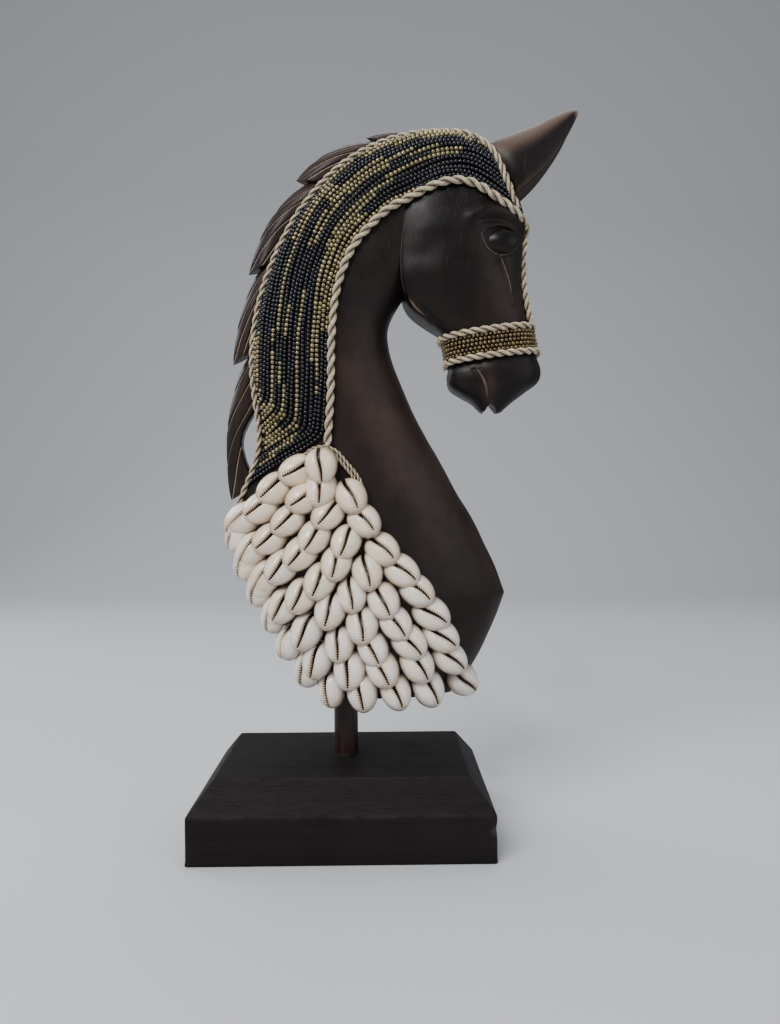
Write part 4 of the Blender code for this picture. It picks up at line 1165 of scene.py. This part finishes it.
def make_ears():
    """Two leaf-shaped ears with a hollow along the lower front."""
    all_points = []
    all_faces = []
    rub = []
    pale = []
    outline = []
    for i in range(len(EAR_OUTLINE)):
        corners = [EAR_OUTLINE[(i + j - 1) % len(EAR_OUTLINE)] for j in range(4)]
        outline += [spline(corners, 1 + k / EAR_FINE) for k in range(EAR_FINE)]
    for side in (-1, 1):
        rings = []
        for t in steps(EAR_RINGS, len(EAR_SECTIONS) - 1):
            lx, lz, ux, uz, half, centre = spline(EAR_SECTIONS, t)
            rings.append([(*blend((lx, lz), (ux, uz), u), side * (centre + half * v), u) for u, v in outline])
        tip = np.array(rings[-1])
        middle = tip.mean(axis=0)
        for share, push in EAR_TIP_ROUNDING:
            row = middle + (tip - middle) * share
            row[:, 0] += push * 0.6
            row[:, 1] += push * 0.4
            row[:, 3] = tip[:, 3]
            rings.append([tuple(v) for v in row])
        all_faces += moved_on(tube_faces(len(rings), len(outline)), sum(len(p) for p in all_points))
        flat = np.array(rings).reshape(-1, 4)
        u = flat[:, 3]
        along = np.repeat(np.linspace(0, 1, len(rings)), len(outline))
        all_points.append(flat[:, [0, 2, 1]])
        # Painted light: the upper half of each ear, the side that faces up, is painted lighter and browner.
        rub.append(np.clip(smooth_step((u - 0.45) / 0.35) * 0.9 * smooth_step(1.25 - along * 0.5), 0, 1))
        rim = np.exp(-(u / 0.05) ** 2) * 0.10
        tip_pale = smooth_step((along - 0.9) / 0.1) * 0.40
        # Paleness: a worn lower rim and tip, and painted light on the upper half.
        pale.append(np.clip(rim + tip_pale + 0.11 * smooth_step((u - 0.5) / 0.3), 0, 1))
    values = {"rub": np.concatenate(rub), "pale": np.concatenate(pale)}
    return outward_object("ears", np.vstack(all_points), all_faces, carved_wood(), values)


def on_face(x, z, lift):
    """The point of the head's side at x and z, raised a little."""
    hit, normal = SKIN.cast(Vector((x, 0.0, z)), Vector((0.0, 1.0, 0.0)), 60.0)
    return hit + normal * lift


def swept(path, radii, sides):
    """Points of a tube with its own radius at each point of its path."""
    normal = np.array([0.0, 1.0, 0.0])
    points = []
    for point, way, radius in zip(path, tangents(path), radii):
        normal = unit(normal - way * (normal @ way))
        across = np.cross(way, normal)
        points += [point + radius * (c * normal + s * across) for c, s in circle(sides)]
    return points


def make_eyes():
    """Each side's eyeball, and the lids and other raised lines of the face as one piece."""
    made = []
    wide, deep, tall = EYE_BALL
    ex, ez = EYE_CENTRE
    depth = on_face(ex, ez, 0.0).y - EYE_SOCKET[2] + 0.4
    for side, name in ((1, "left"), (-1, "right")):
        points = []
        lift = []
        for theta in steps(EYE_RINGS - 1, math.pi):
            for c, s in circle(EYE_SIDES):
                ball = (math.sin(theta) * c, math.sin(theta) * s, math.cos(theta))
                points.append((ex + wide * ball[0], side * (depth + deep * ball[1]), ez + tall * ball[2]))
                lift.append(ball[2])
        faces = tube_faces(EYE_RINGS, EYE_SIDES)
        made.append(outward_object("eye_" + name, points, faces, eye_material(), {"lift": lift}))
        lids = []
        faces = []
        pale = []
        for line, height, paleness in LINES_OF_THE_FACE:
            path = curve_points(line, 0.8)
            spots = ease(np.array([tuple(on_face(x, z, height)) for x, z, _ in path]), 3)
            spots[:, 1] *= side
            faces += moved_on(tube_faces(len(spots), LINE_SIDES), len(lids))
            lids += swept(spots, path[:, 2], LINE_SIDES)
            pale += [paleness] * (len(spots) * LINE_SIDES)
        values = {"pale": pale, "rub": [0.25] * len(pale)}
        made.append(outward_object("eyelids_" + name, lids, faces, carved_wood(), values))
    return made


# Plinth and dowel


def plinth_levels(shoulder, inset, top):
    """How far in and how high each ring of points is, from the underside's edge to the middle of the top."""
    levels = [(8.0, 0.0), (0.9, 0.0), (0.3, 0.3), (0.0, 0.9)]
    levels += [(0.0, z) for z in np.linspace(3.0, shoulder - 1.6, 12)]
    levels += [(0.05, shoulder - 0.7), (0.35, shoulder + 0.25), (0.95, shoulder + 1.2)]
    levels += [(inset * s, shoulder + (top - shoulder) * s) for s in np.linspace(0.14, 0.93, 14)]
    levels += [(inset - 0.25, top - 0.55), (inset + 0.35, top - 0.12), (inset + 1.2, top)]
    return levels + [(inset + d, top) for d in np.linspace(4.0, 45.0, 18)]


def plinth_ring(half_x, half_y, z):
    """A rectangle with rounded corners, its long sides cut into short parts."""
    r = min(PLINTH_CORNER, half_y * 0.5)
    corners = []
    for quarter, (way_x, way_y) in enumerate(((1, 1), (-1, 1), (-1, -1), (1, -1))):
        for k in range(5):
            angle = math.radians(90 * quarter + 22.5 * k)
            x = way_x * (half_x - r) + r * math.cos(angle)
            y = way_y * (half_y - r) + r * math.sin(angle)
            corners.append((x, y, z))
    ring = []
    for number, (a, b) in enumerate(zip(corners, corners[1:] + corners[:1])):
        parts = PLINTH_SIDE_PARTS[number // 5 % 2] if number % 5 == 4 else 1
        ring += [blend(a, b, i / parts) for i in range(parts)]
    return ring


def make_plinth():
    """A block with straight sides, sloped shoulders, worn edges and one chipped corner."""
    length = BASE_HIGH[0] - BASE_LOW[0]
    width = BASE_HIGH[1] - BASE_LOW[1]
    top = BASE_HIGH[2]
    shoulder = PLINTH_SHOULDER
    inset = PLINTH_INSET
    levels = plinth_levels(shoulder, inset, top)
    grid = np.array([plinth_ring(length / 2 - in_by, width / 2 - in_by, z) for in_by, z in levels])
    points = grid.reshape(-1, 3)
    x, y, z = points.T
    nick = np.exp(-(((points - CHIP_PLACE) / CHIP_SIZE) ** 2).sum(axis=1))
    wobble = ripple(points, 0.03, 5) * 0.35 + ripple(points, 0.2, 6) * 0.10
    moved = points.copy()
    lateral = (z > 1.0) & (z < top - 0.2)
    for axis, (place, size) in enumerate(((x, length), (y, width))):
        outer = lateral & (np.abs(place) > size / 2 - inset - 2)
        moved[:, axis] += np.where(outer, np.sign(place) * (wobble * 0.5 - 0.3), 0)
    moved -= nick[:, None] * CHIP_DEPTH
    in_by = np.where(z <= shoulder, 0.0, (z - shoulder) / (top - shoulder) * inset)
    edge_x = np.abs(np.abs(x) - (length / 2 - in_by))
    edge_y = np.abs(np.abs(y) - (width / 2 - in_by))
    upright = np.exp(-(np.hypot(edge_x, edge_y) / PLINTH_WEAR) ** 2)
    ring_shoulder = np.exp(-((z - shoulder) / PLINTH_WEAR) ** 2) * 0.7
    ring_top = np.exp(-(np.hypot(z - top, np.minimum(edge_x, edge_y)) / 1.0) ** 2) * 0.7
    chipped = smooth_step((ripple(points, 0.25, 7) + 0.35) / 0.6)
    wear = np.maximum(np.maximum(upright, ring_shoulder), ring_top) * chipped
    values = {"rub": np.clip(wear * 0.45 + 0.15, 0, 1), "pale": np.clip(wear * 0.02 + nick * 0.15, 0, 1)}
    stain = bpy.context.scene.sculpture_colours.plinth
    material = wood_material(
        "Stained plinth", stain, PLINTH_RUBBED, stretch=(0.05, 1.0, 1.0), contrast=0.95, gloss=0.1, rougher=0.22,
        bump=0.00025)
    return outward_object("plinth", moved, tube_faces(*grid.shape[:2]), material, values)


def round_noise(c, s, scale, height):
    """Unevenness round a turned piece, at a cosine, a sine and a height."""
    return noise.noise(Vector((c * scale, s * scale, height)))


def make_dowel():
    """A whittled dowel, not quite round."""
    points = []
    for z in np.linspace(POST_LOW[2], POST_HIGH[2], DOWEL_RINGS):
        for c, s in circle(DOWEL_SIDES):
            r = DOWEL_RADIUS - 0.25 + 0.45 * round_noise(c, s, 2.1, z * 0.016)
            r += 0.22 * round_noise(c, s, 6.5, z * 0.03 + 9)
            points.append((DOWEL_X + r * c, r * s, z))
    points = np.array(points)
    rub = smooth_step(ripple(points * np.array([1, 1, 0.12]), 0.35, 8) + 0.5) * 0.9
    material = wood_material(
        "Whittled dowel", DOWEL_STAIN, DOWEL_RUBBED, stretch=(1.0, 1.0, 0.06), contrast=0.7, gloss=0.3, bump=0.0003)
    values = {"rub": rub, "pale": np.zeros(len(points))}
    return outward_object("dowel", points, tube_faces(DOWEL_RINGS, DOWEL_SIDES), material, values)


def make_glue():
    """A rough bead of dried glue round the dowel's foot."""
    top = BASE_HIGH[2]
    inside = DOWEL_RADIUS - GLUE_INSIDE
    points = []
    for share in steps(GLUE_RINGS, 1.0):
        for c, s in circle(GLUE_SIDES):
            lump = round_noise(c, s, 1.6, 3.0)
            fine = round_noise(c, s, 6.0, share * 3)
            r = inside + (1.5 + 1.9 * max(0.0, lump + 0.25) + 0.5 * fine) * share
            h = (1 - share) ** 1.6 * (1.6 + 1.6 * max(0.0, lump)) + 0.1 * fine
            points.append((DOWEL_X + r * c, r * s, top + h - 0.15))
    points += [(DOWEL_X + inside * c, inside * s, top - 0.3) for c, s in circle(GLUE_SIDES)]
    return outward_object("glue", points, tube_faces(GLUE_RINGS + 2, GLUE_SIDES, closed=True), glue_material())


# Cords


def rope(name, paths, diameter, nodes, lay=1.6, closed=False):
    """A cord of two twisted plies along each path, as one piece. Its lay is half a turn, in diameters."""
    verts = []
    faces = []
    fibre = []
    ply = diameter * 0.29
    round_ply = circle(PLY_SIDES)
    turn_length = 2 * diameter * lay
    for path in paths:
        path = resample(ease(resample(path, 1.4, closed), 2, closed), 0.55, closed)
        along = tangents(path, closed)
        count = len(path)
        step = np.linalg.norm(path[1] - path[0])
        length = np.arange(count) * step
        total = length[-1] + step
        pitch = total / max(1, round(total / turn_length)) if closed else turn_length
        normal = unit(np.cross(along[0], np.array([0.31, 0.9, 0.2])))
        frames = []
        for way in along:
            normal = unit(normal - way * (normal @ way))
            frames.append((normal, np.cross(way, normal)))
        drift = math.atan2(frames[0][1] @ normal, frames[0][0] @ normal) if closed else 0.0
        for strand in (0, 1):
            turn = 2 * math.pi * length / pitch + math.pi * strand + drift * np.arange(count) / count
            centres = np.array([
                p + ply * 0.92 * (math.cos(a) * n + math.sin(a) * b) for p, a, (n, b) in zip(path, turn, frames)
            ])
            ways = tangents(centres, closed)
            faces += moved_on(tube_faces(count, PLY_SIDES, closed), len(verts))
            for i in range(count):
                n = centres[i] - path[i]
                n = unit(n - ways[i] * (n @ ways[i]))
                b = np.cross(ways[i], n)
                radius = ply if closed else ply * min(1.0, 0.35 + min(i, count - 1 - i) * 0.3)
                for k, (c, s) in enumerate(round_ply):
                    verts.append(centres[i] + radius * (c * n + s * b))
                    # The first value is 0 on the side of a ply that faces the cord's middle and 0.5 on its outside;
                    # the raffia's painted shade between the plies reads it.
                    fibre.append((abs(k - PLY_SIDES / 2) / PLY_SIDES, length[i], strand))
    finish_piece(outward_object(name, verts, faces, raffia_material(), {"fibre": fibre}), nodes, "raffia_cord")


def mane_cord_route():
    """Along the crest beside the mane, then down in front of the ear."""
    route = []
    for t in steps(15, len(NECK_SECTIONS) - 1 - MANE_CORD_START):
        bx, bz, fx, fz, half, _ = spline_with_corner(NECK_SECTIONS, CHEST_CORNER, MANE_CORD_START + t)
        share = (MANE_CORD_HALF_GAP / half) ** (NECK_BACK_POWER / 2)
        c = math.sqrt(1 - share**2) ** (2 / NECK_BACK_POWER)
        x, z = blend((bx, bz), (fx, fz), 0.5 - 0.5 * c)
        route.append((x, MANE_CORD_HALF_GAP, z))
    return route + MANE_CORD_TO_BROW


def laid_cord(rows, diameter, gap=0.25):
    """A cord's line laid on the wood, a small gap above it."""
    points = curve_points(rows, 3.0)
    laid, _ = SKIN.lift(points, diameter / 2 + gap)
    return ease(laid, 3)


def nose_line(offset, height):
    """A line down the bridge of the nose."""
    points = []
    for z in np.linspace(*NOSE_STRIP, 30):
        hit, _ = SKIN.cast(Vector((90.0, offset, z)), Vector((1.0, 0.0, 0.0)), 60.0)
        points.append(tuple(hit + Vector((height, 0.0, 0.0))))
    return ease(np.array(points), 2)


def make_cords():
    """The cords of the mane, ears, neck, nose, noseband and knot."""
    sizes = bpy.context.scene.sculpture_sizes
    mane_d = sizes.mane_cord / MM
    neck_d = sizes.neck_cord / MM
    head_d = sizes.head_cord / MM
    knot_d = sizes.knot_cord / MM
    mane = laid_cord(mane_cord_route(), mane_d)
    ear = laid_cord(EAR_CORD, mane_d, 1.2)
    for turn, side in ((np.asarray, "left"), (mirrored, "right")):
        rope(f"mane_cord_{side}_twist", [turn(mane), turn(ear)], mane_d, ["mane_cord_" + side], 2.0)
    half = laid_cord(NECK_CORD, neck_d)
    half[-1, 1] = 0.0
    loop = np.vstack([half, mirrored(half)[-2::-1]])
    rope("neck_cord_twist", [ease(loop, 2)], neck_d, ["neck_cord"], 1.75)
    nose = nose_line(NOSE_CORD_OFFSET, head_d / 2 + 0.2)
    for turn, side in ((np.asarray, "left"), (mirrored, "right")):
        rope(f"nose_cord_{side}_twist", [turn(nose)], head_d, ["nose_cord_" + side])
    for station, name in ((NOSEBAND_TOP, "upper"), (NOSEBAND_BOTTOM, "lower")):
        ring = ease(grown(head_ring(station), head_d / 2 + 0.9), 2, closed=True)
        rope(f"noseband_cord_{name}_twist", [ring], head_d, ["noseband_cord_" + name], closed=True)
    knots = [laid_cord(rows, knot_d, 2.4) for rows in KNOT_CORDS]
    rope("knot_cords", knots + [mirrored(p) for p in knots], knot_d, [])


# Beads


def bead_shape():
    """One bead along X of unit diameter: a short barrel."""
    rings = [(-0.45, 0.20), (-0.36, 0.38), (-0.15, 0.49), (0.15, 0.49), (0.36, 0.38), (0.45, 0.20)]
    verts = [(x, r * c, r * s) for x, r in rings for c, s in circle(BEAD_SIDES)]
    return np.array(verts), tube_faces(len(rings), BEAD_SIDES)


def string_beads(name, places, diameter, material, nodes, slot, seed):
    """All beads of one colour as one piece. Each place is a centre, the row's way and the way out."""
    rng = np.random.default_rng(seed)
    shape, shape_faces = bead_shape()
    verts = []
    faces = []
    tint = []
    for centre, way, out in places:
        way = unit(way + rng.normal(0, 0.05, 3))
        across = unit(np.cross(way, out))
        up = np.cross(across, way)
        size = diameter * rng.uniform(0.93, 1.05)
        longer = rng.uniform(0.9, 1.05)
        faces += moved_on(shape_faces, len(verts) * len(shape))
        local = shape * size
        verts.append(centre + local[:, :1] * longer * way + local[:, 1:2] * across + local[:, 2:] * up)
        tint.append(np.full(len(shape), rng.uniform(0, 1)))
    obj = mesh_object(name, np.vstack(verts), faces, material, {"tint": np.concatenate(tint)})
    finish_piece(obj, nodes, slot)


def unbroken(row):
    """The stretches of a row between its gaps."""
    run = []
    for item in row + [None]:
        if item is not None:
            run.append(item)
        elif run:
            yield run
            run = []


def band_rows():
    """Lines for the beads of one neck band, laid on the wood side by side from the neck cord to the mane cord.

    Below the foot of the neck cord each row turns to run along the collar. A row stops at the mane cord.
    """
    sizes = bpy.context.scene.sculpture_sizes
    upper = curve_points([BAND_CORNER] + mane_cord_route()[2:], 1.0)
    lower = curve_points(NECK_CORD[:-2], 1.0)
    bead = sizes.bead_diameter / MM
    margin_upper = sizes.mane_cord / MM / 2 + bead * 0.35
    margin_lower = sizes.neck_cord / MM / 2 + bead * 0.40
    height = bead / 2 + 0.25
    slope = math.radians(BAND_FOOT_SLOPE)
    rows = [[] for _ in range(BAND_ROWS_AT_MOST)]
    climbed = 0.0
    last_right = None
    for v in steps(BAND_STATIONS, 1):
        left = upper[min(len(upper) - 1, round(v * (len(upper) - 1)))]
        if v < BAND_CORNER_SHARE:
            right = np.array(blend(BAND_CORNER, BAND_FOOT, v / BAND_CORNER_SHARE))
        else:
            along = (v - BAND_CORNER_SHARE) / (1 - BAND_CORNER_SHARE)
            right = lower[min(len(lower) - 1, round(blend(6, len(lower) - 1, along)))]
            climbed += np.linalg.norm(right - last_right)
        last_right = right
        trial, normals = SKIN.lift([left + (right - left) * s for s in np.linspace(0, 1, 15)], height)
        arc = arc_lengths(trial)
        spacing = bead * blend(*BEAD_ROW_SPACING, float(smooth_step((v - 0.25) / 0.3)))
        for k, row in enumerate(rows):
            wave = 0.13 * math.sin(v * 31 + k * 1.9) + 0.12 * math.sin(v * 12 + k * 0.7)
            off = margin_lower + spacing * (k + wave * (k > 0))
            if v < BAND_CORNER_SHARE:
                across = off / math.sin(slope)
            else:
                across = max(off, (off - climbed * math.cos(slope)) / math.sin(slope))
            where = arc[-1] - across
            if where < margin_upper:
                row.append(None)
                continue
            row.append((v, at_length(where, arc, trial), unit(at_length(where, arc, normals))))
    strands = []
    for k, row in enumerate(rows):
        for run in unbroken(row):
            if len(run) > SHORTEST_STRAND:
                shares, line, outs = (np.array(column) for column in zip(*run))
                strands.append((k, shares, ease(line, 8), outs))
    return strands


def is_gold(row, share, rng):
    """Whether the bead at a share of the band's length in a row is gold, with a stray one now and then."""
    stretches = GOLD_STRETCHES[row] if row < len(GOLD_STRETCHES) else []
    if any(low <= share <= high for low, high in stretches):
        return rng.random() > BLACK_IN_GOLD
    return rng.random() < GOLD_IN_BLACK


def make_bead_bands():
    """The two broad bands, gold and black beads as a piece each, the right one the mirror image of the left."""
    sizes = bpy.context.scene.sculpture_sizes
    gold_size = sizes.bead_diameter / MM
    black_size = gold_size * BLACK_BEAD_SHARE
    rng = random.Random(11)
    gold = []
    black = []
    for k, shares, line, outs in band_rows():
        arc = arc_lengths(line)
        ways = tangents(line)
        length = 0.0
        while length < arc[-1]:
            golden = is_gold(k, float(np.interp(length, arc, shares)), rng)
            size = gold_size if golden else black_size
            place = tuple(at_length(length + size / 2, arc, rows) for rows in (line, ways, outs))
            (gold if golden else black).append(place)
            length += size
    for turn, side, seed in ((np.asarray, "left", 22), (mirrored, "right", 21)):
        for places, tone, size, material, slot in (
            (gold, "gold", gold_size, gold_beads(), "gold_beads"),
            (black, "black", black_size, black_beads(), "bead_rows"),
        ):
            turned = [tuple(turn(part) for part in place) for place in places]
            string_beads(f"{tone}_beads_{side}", turned, size, material, ["bead_band_" + side], slot, seed)


def make_noseband():
    """Rows of gold beads round the muzzle and black ones down the nose."""
    sizes = bpy.context.scene.sculpture_sizes
    diameter = sizes.bead_diameter / MM * HEAD_BEAD_SHARE
    places = []
    jaw = np.linalg.norm(np.array(head_ring(NOSEBAND_TOP)[0]) - np.array(head_ring(NOSEBAND_BOTTOM)[0]))
    margin = (sizes.head_cord / MM / 2 + diameter / 2 - 0.2) / jaw
    for k, shift in enumerate(NOSEBAND_SHIFTS):
        t = blend(NOSEBAND_TOP + margin, NOSEBAND_BOTTOM - margin, k / (len(NOSEBAND_SHIFTS) - 1))
        ring = resample(ease(grown(head_ring(t), diameter / 2 + 0.9), 2, closed=True), diameter / 4, closed=True)
        ring = resample(np.roll(ring, shift, axis=0), diameter, closed=True)
        ways = tangents(ring, closed=True)
        outs = unit(ring - ring.mean(axis=0))
        outs = unit(outs - ways * np.sum(outs * ways, axis=1)[:, None])
        places += list(zip(ring, ways, outs))
    string_beads("noseband_beads_strung", places, diameter, bronze_beads(), ["noseband_beads"], "gold_beads", 31)
    places = []
    inner = NOSE_CORD_OFFSET - sizes.head_cord / MM / 2 - diameter / 2 + 0.3
    for offset in np.linspace(-inner, inner, NOSE_ROWS):
        points = resample(nose_line(offset, diameter / 2 + 0.3), diameter)
        places += [(p, w, np.array([1.0, 0.0, 0.0])) for p, w in zip(points, tangents(points))]
    string_beads("nose_beads_strung", places, diameter, black_beads(), ["nose_beads"], "bead_rows", 32)


# Cowries


def cowrie_shape():
    """One cowrie, slot side up: its points, where each lies along and across its slot, and its faces."""
    sizes = bpy.context.scene.sculpture_sizes
    half_length = sizes.shell_length / MM / 2
    half_width = sizes.shell_width / MM / 2
    height = sizes.shell_height / MM
    half_columns = [0.06, 0.11, 0.17, 0.26, 0.38, 0.52, 0.68, 0.82, 0.93, 1.0]
    columns = [-b for b in reversed(half_columns)] + [0.0] + half_columns
    under = [0.75, 0.35, 0.0, -0.35, -0.75]
    points = []
    spots = []
    for angle in steps(SHELL_RINGS - 1, math.pi):
        a = -math.cos(angle) * 0.999
        outline = max(0.0, 1 - abs(a) ** 2.15) ** 0.5 * (1.0 - 0.10 * a)
        slot = 0.09 * math.sin(2.5 * a) + 0.14 * max(0.0, a - 0.4) ** 2
        for b in columns:
            across = b - slot * (1 - b * b)
            dome = max(0.0, 1 - abs(b) ** 2.1) ** 0.58 * max(0.0, 1 - abs(a) ** 2.3) ** 0.58
            gape = 0.095 - 0.035 * a
            groove = math.exp(-(across / gape) ** 2) * slot_depth(a)
            points.append((a * half_length, b * outline * half_width, (dome - 0.45 * groove * dome) * height))
            spots.append((a * half_length, across * outline * half_width * (1.0 if outline > 0.4 else 1.6), 0.0))
        for b in under:
            points.append((a * half_length, b * outline * half_width, -0.10 * height * (1 - b * b) * outline))
            spots.append((a * half_length, 7.0, 0.0))
    return np.array(points), np.array(spots), tube_faces(SHELL_RINGS, len(columns) + len(under))


def slot_depth(a):
    """How deep a cowrie's slot is at a place along it, down to 0 at its ends."""
    return float(smooth_step(((0.9 if a > 0 else 0.98) - abs(a)) / 0.12))


def neck_side():
    """The neck's surface where the shells hang, carried on below the wood."""
    rings = [neck_ring(t, SKIN_SIDES) for t in steps(80, 10.0)]
    rings.insert(0, [(x, y, z - NECK_BELOW_WOOD) for x, y, z in rings[0]])
    verts = [p for ring in rings for p in ring]
    return BVHTree.FromPolygons(verts, tube_faces(len(rings), SKIN_SIDES))


def shell_place(tree, x, z):
    """Where a shell seen at x, z lies on the neck: the surface point and its normal."""
    eye = Vector(EYE_POINT)
    seen = Vector((x, SHELL_PLANE, z))
    way = (seen - eye).normalized()
    hit, normal, _, _ = tree.ray_cast(eye, way)
    if hit is None:
        hit, normal, _, _ = tree.find_nearest(seen + way * 12)
    if normal.dot(way) > 0:
        normal = -normal
    return hit, normal


def make_shells():
    """The collar of cowries, each overlapping the one below it like scales."""
    tree = neck_side()
    shape, spots, shape_faces = cowrie_shape()
    rng = random.Random(5)
    placed = []
    for row in SHELL_ROWS:
        for x, z, turn in row:
            tilt = SHELL_TILT + rng.uniform(-2, 2)
            placed.append((x, z, turn, SHELL_LIFT, tilt, rng.uniform(0.96, 1.04), rng.uniform(0.97, 1.03)))
    placed.append((*KNOT_SHELL, SHELL_LIFT + 4.0, 4.0, 0.92, 1.1))
    verts = []
    faces = []
    values = []
    for x, z, turn, lift, tilt, scale, plump in placed:
        hit, normal = shell_place(tree, x, z)
        up = (Vector((0, 0, 1)) - normal * normal.z).normalized()
        forward = up.cross(normal)
        if forward.x < 0:
            forward = -forward
        angle = math.radians(turn)
        down = math.sin(angle) * forward - math.cos(angle) * up
        lean = math.radians(tilt)
        along = down * math.cos(lean) + normal * math.sin(lean)
        out = normal * math.cos(lean) - down * math.sin(lean)
        across = out.cross(along)
        centre = np.array(hit + normal * lift - along * SHELL_PULL)
        faces += moved_on(shape_faces, len(verts) * len(shape))
        axes = np.array([along, across * plump, out])
        verts.append(centre + shape * scale @ axes)
        spot = spots.copy()
        spot[:, 2] = min(1.0, max(0.0, (SHELL_CREAM_HEIGHT - z) / 90.0 + 0.35 * rng.random()))
        values.append(spot)
    points = np.vstack(verts)
    spot = np.vstack(values)
    for turn, side in ((mirrored, "left"), (np.asarray, "right")):
        obj = outward_object("cowries_" + side, turn(points), faces, cowrie_material(), {"spot": spot})
        finish_piece(obj, ["cowrie_shells_" + side], "cowrie_shell")


# Stage


def make_floor():
    """A plain floor that curves up into a wall behind."""
    profile = [(FLOOR_FRONT, 0.0), (WALL_START, 0.0)]
    profile += [
        (WALL_START + WALL_BEND * math.sin(angle), WALL_BEND * (1 - math.cos(angle)))
        for angle in np.linspace(0.1, math.pi / 2, 14)
    ]
    profile += [(WALL_START + WALL_BEND, WALL_TOP)]
    verts = np.array([(x, y, z) for x in (-FLOOR_HALF_WIDTH, FLOOR_HALF_WIDTH) for y, z in profile]) / MM
    count = len(profile)
    faces = [(k, k + 1, count + k + 1, count + k) for k in range(count - 1)]
    floor = mesh_object("floor", verts, faces, floor_material())


def make_lights():
    """Soft lights and an even sky."""
    for name, place, size, power, tint in LIGHTS:
        light = bpy.data.lights.new(name, "AREA")
        light.size = size
        light.energy = power
        light.color = tint
        obj = bpy.data.objects.new(name, light)
        obj.location = place
        obj.rotation_euler = (Vector(LIGHTS_AIM) - Vector(place)).to_track_quat("-Z", "Y").to_euler()
        bpy.context.collection.objects.link(obj)
    world = bpy.data.worlds.new("soft room")
    world.use_nodes = True
    background = world.node_tree.nodes["Background"]
    background.inputs["Color"].default_value = colour(SKY_COLOUR)
    background.inputs["Strength"].default_value = SKY_STRENGTH
    bpy.context.scene.world = world


def make_camera():
    """The camera at the viewer's eye."""
    camera = bpy.data.cameras.new("camera")
    camera.sensor_width = SENSOR
    camera.lens = FOCAL_PIXELS * SENSOR / PHOTO_HEIGHT
    camera.clip_end = 50.0
    pitch, roll, yaw = (math.radians(v) for v in (EYE_PITCH, EYE_ROLL, EYE_YAW))
    ahead = Vector((math.sin(yaw) * math.cos(pitch), math.cos(yaw) * math.cos(pitch), -math.sin(pitch)))
    right = Vector((math.cos(yaw), -math.sin(yaw), 0.0))
    up = right.cross(ahead)
    rolled_right = math.cos(roll) * right + math.sin(roll) * up
    rolled_up = math.cos(roll) * up - math.sin(roll) * right
    matrix = Matrix((rolled_right, rolled_up, -ahead)).transposed().to_4x4()
    matrix.translation = Vector(EYE_POINT) * MM
    obj = bpy.data.objects.new("camera", camera)
    obj.matrix_world = matrix
    bpy.context.collection.objects.link(obj)
    bpy.context.scene.camera = obj


# Operators


class CarveWood(Operator):
    """Build the head, neck, mane and ears in stained wood"""

    bl_idname = "sculpture.carve_wood"
    bl_label = "Carve the wood"

    def execute(self, context):
        for obj in (make_neck(), make_head(), make_mane(), make_ears()):
            finish_piece(obj, ["horse_head"], "stained_wood")
        return {"FINISHED"}


class CarveEyes(Operator):
    """Build the eyes and their lids"""

    bl_idname = "sculpture.carve_eyes"
    bl_label = "Carve the eyes"

    def execute(self, context):
        for obj in make_eyes():
            finish_piece(obj, ["horse_head"], "stained_wood")
        return {"FINISHED"}


class MakeStand(Operator):
    """Build the plinth and the dowel"""

    bl_idname = "sculpture.make_stand"
    bl_label = "Make the stand"

    def execute(self, context):
        finish_piece(make_plinth(), ["base"], "plinth")
        finish_piece(make_dowel(), ["post"], "dowel")
        finish_piece(make_glue(), [], "dowel")
        return {"FINISHED"}


class TwistCords(Operator):
    """Build the twisted raffia cords"""

    bl_idname = "sculpture.twist_cords"
    bl_label = "Twist the cords"

    def execute(self, context):
        make_cords()
        return {"FINISHED"}


class StringBeads(Operator):
    """String the bead bands, the noseband and the nose strip"""

    bl_idname = "sculpture.string_beads"
    bl_label = "String the beads"

    def execute(self, context):
        make_bead_bands()
        make_noseband()
        return {"FINISHED"}


class SewCowries(Operator):
    """Lay the collar of cowrie shells"""

    bl_idname = "sculpture.sew_cowries"
    bl_label = "Sew the cowries"

    def execute(self, context):
        make_shells()
        return {"FINISHED"}


class SetStage(Operator):
    """Set the floor, the lights and the camera"""

    bl_idname = "sculpture.set_stage"
    bl_label = "Set the stage"

    def execute(self, context):
        make_floor()
        make_lights()
        make_camera()
        return {"FINISHED"}


OPERATORS = (CarveWood, CarveEyes, MakeStand, TwistCords, StringBeads, SewCowries, SetStage)


class SculpturePanel(Panel):
    """Lists the sculpture's sizes, colours and steps"""

    bl_idname = "VIEW3D_PT_sculpture"
    bl_label = "Horse head sculpture"
    bl_space_type = "VIEW_3D"
    bl_region_type = "UI"
    bl_category = "Sculpture"

    def draw(self, context):
        for group in (context.scene.sculpture_sizes, context.scene.sculpture_colours):
            for name in group.__annotations__:
                self.layout.prop(group, name)
        for operator in OPERATORS:
            self.layout.operator(operator.bl_idname)


CLASSES = (SculptureSizes, SculptureColours) + OPERATORS + (SculpturePanel,)


def register():
    for cls in CLASSES:
        bpy.utils.register_class(cls)
    bpy.types.Scene.sculpture_sizes = PointerProperty(type=SculptureSizes)
    bpy.types.Scene.sculpture_colours = PointerProperty(type=SculptureColours)


def unregister():
    del bpy.types.Scene.sculpture_colours
    del bpy.types.Scene.sculpture_sizes
    for cls in reversed(CLASSES):
        bpy.utils.unregister_class(cls)


def main():
    register()
    bpy.ops.sculpture.carve_wood()
    bpy.ops.sculpture.carve_eyes()
    bpy.ops.sculpture.make_stand()
    bpy.ops.sculpture.twist_cords()
    bpy.ops.sculpture.string_beads()
    bpy.ops.sculpture.sew_cowries()
    bpy.ops.sculpture.set_stage()


if __name__ == "__main__":
    main()
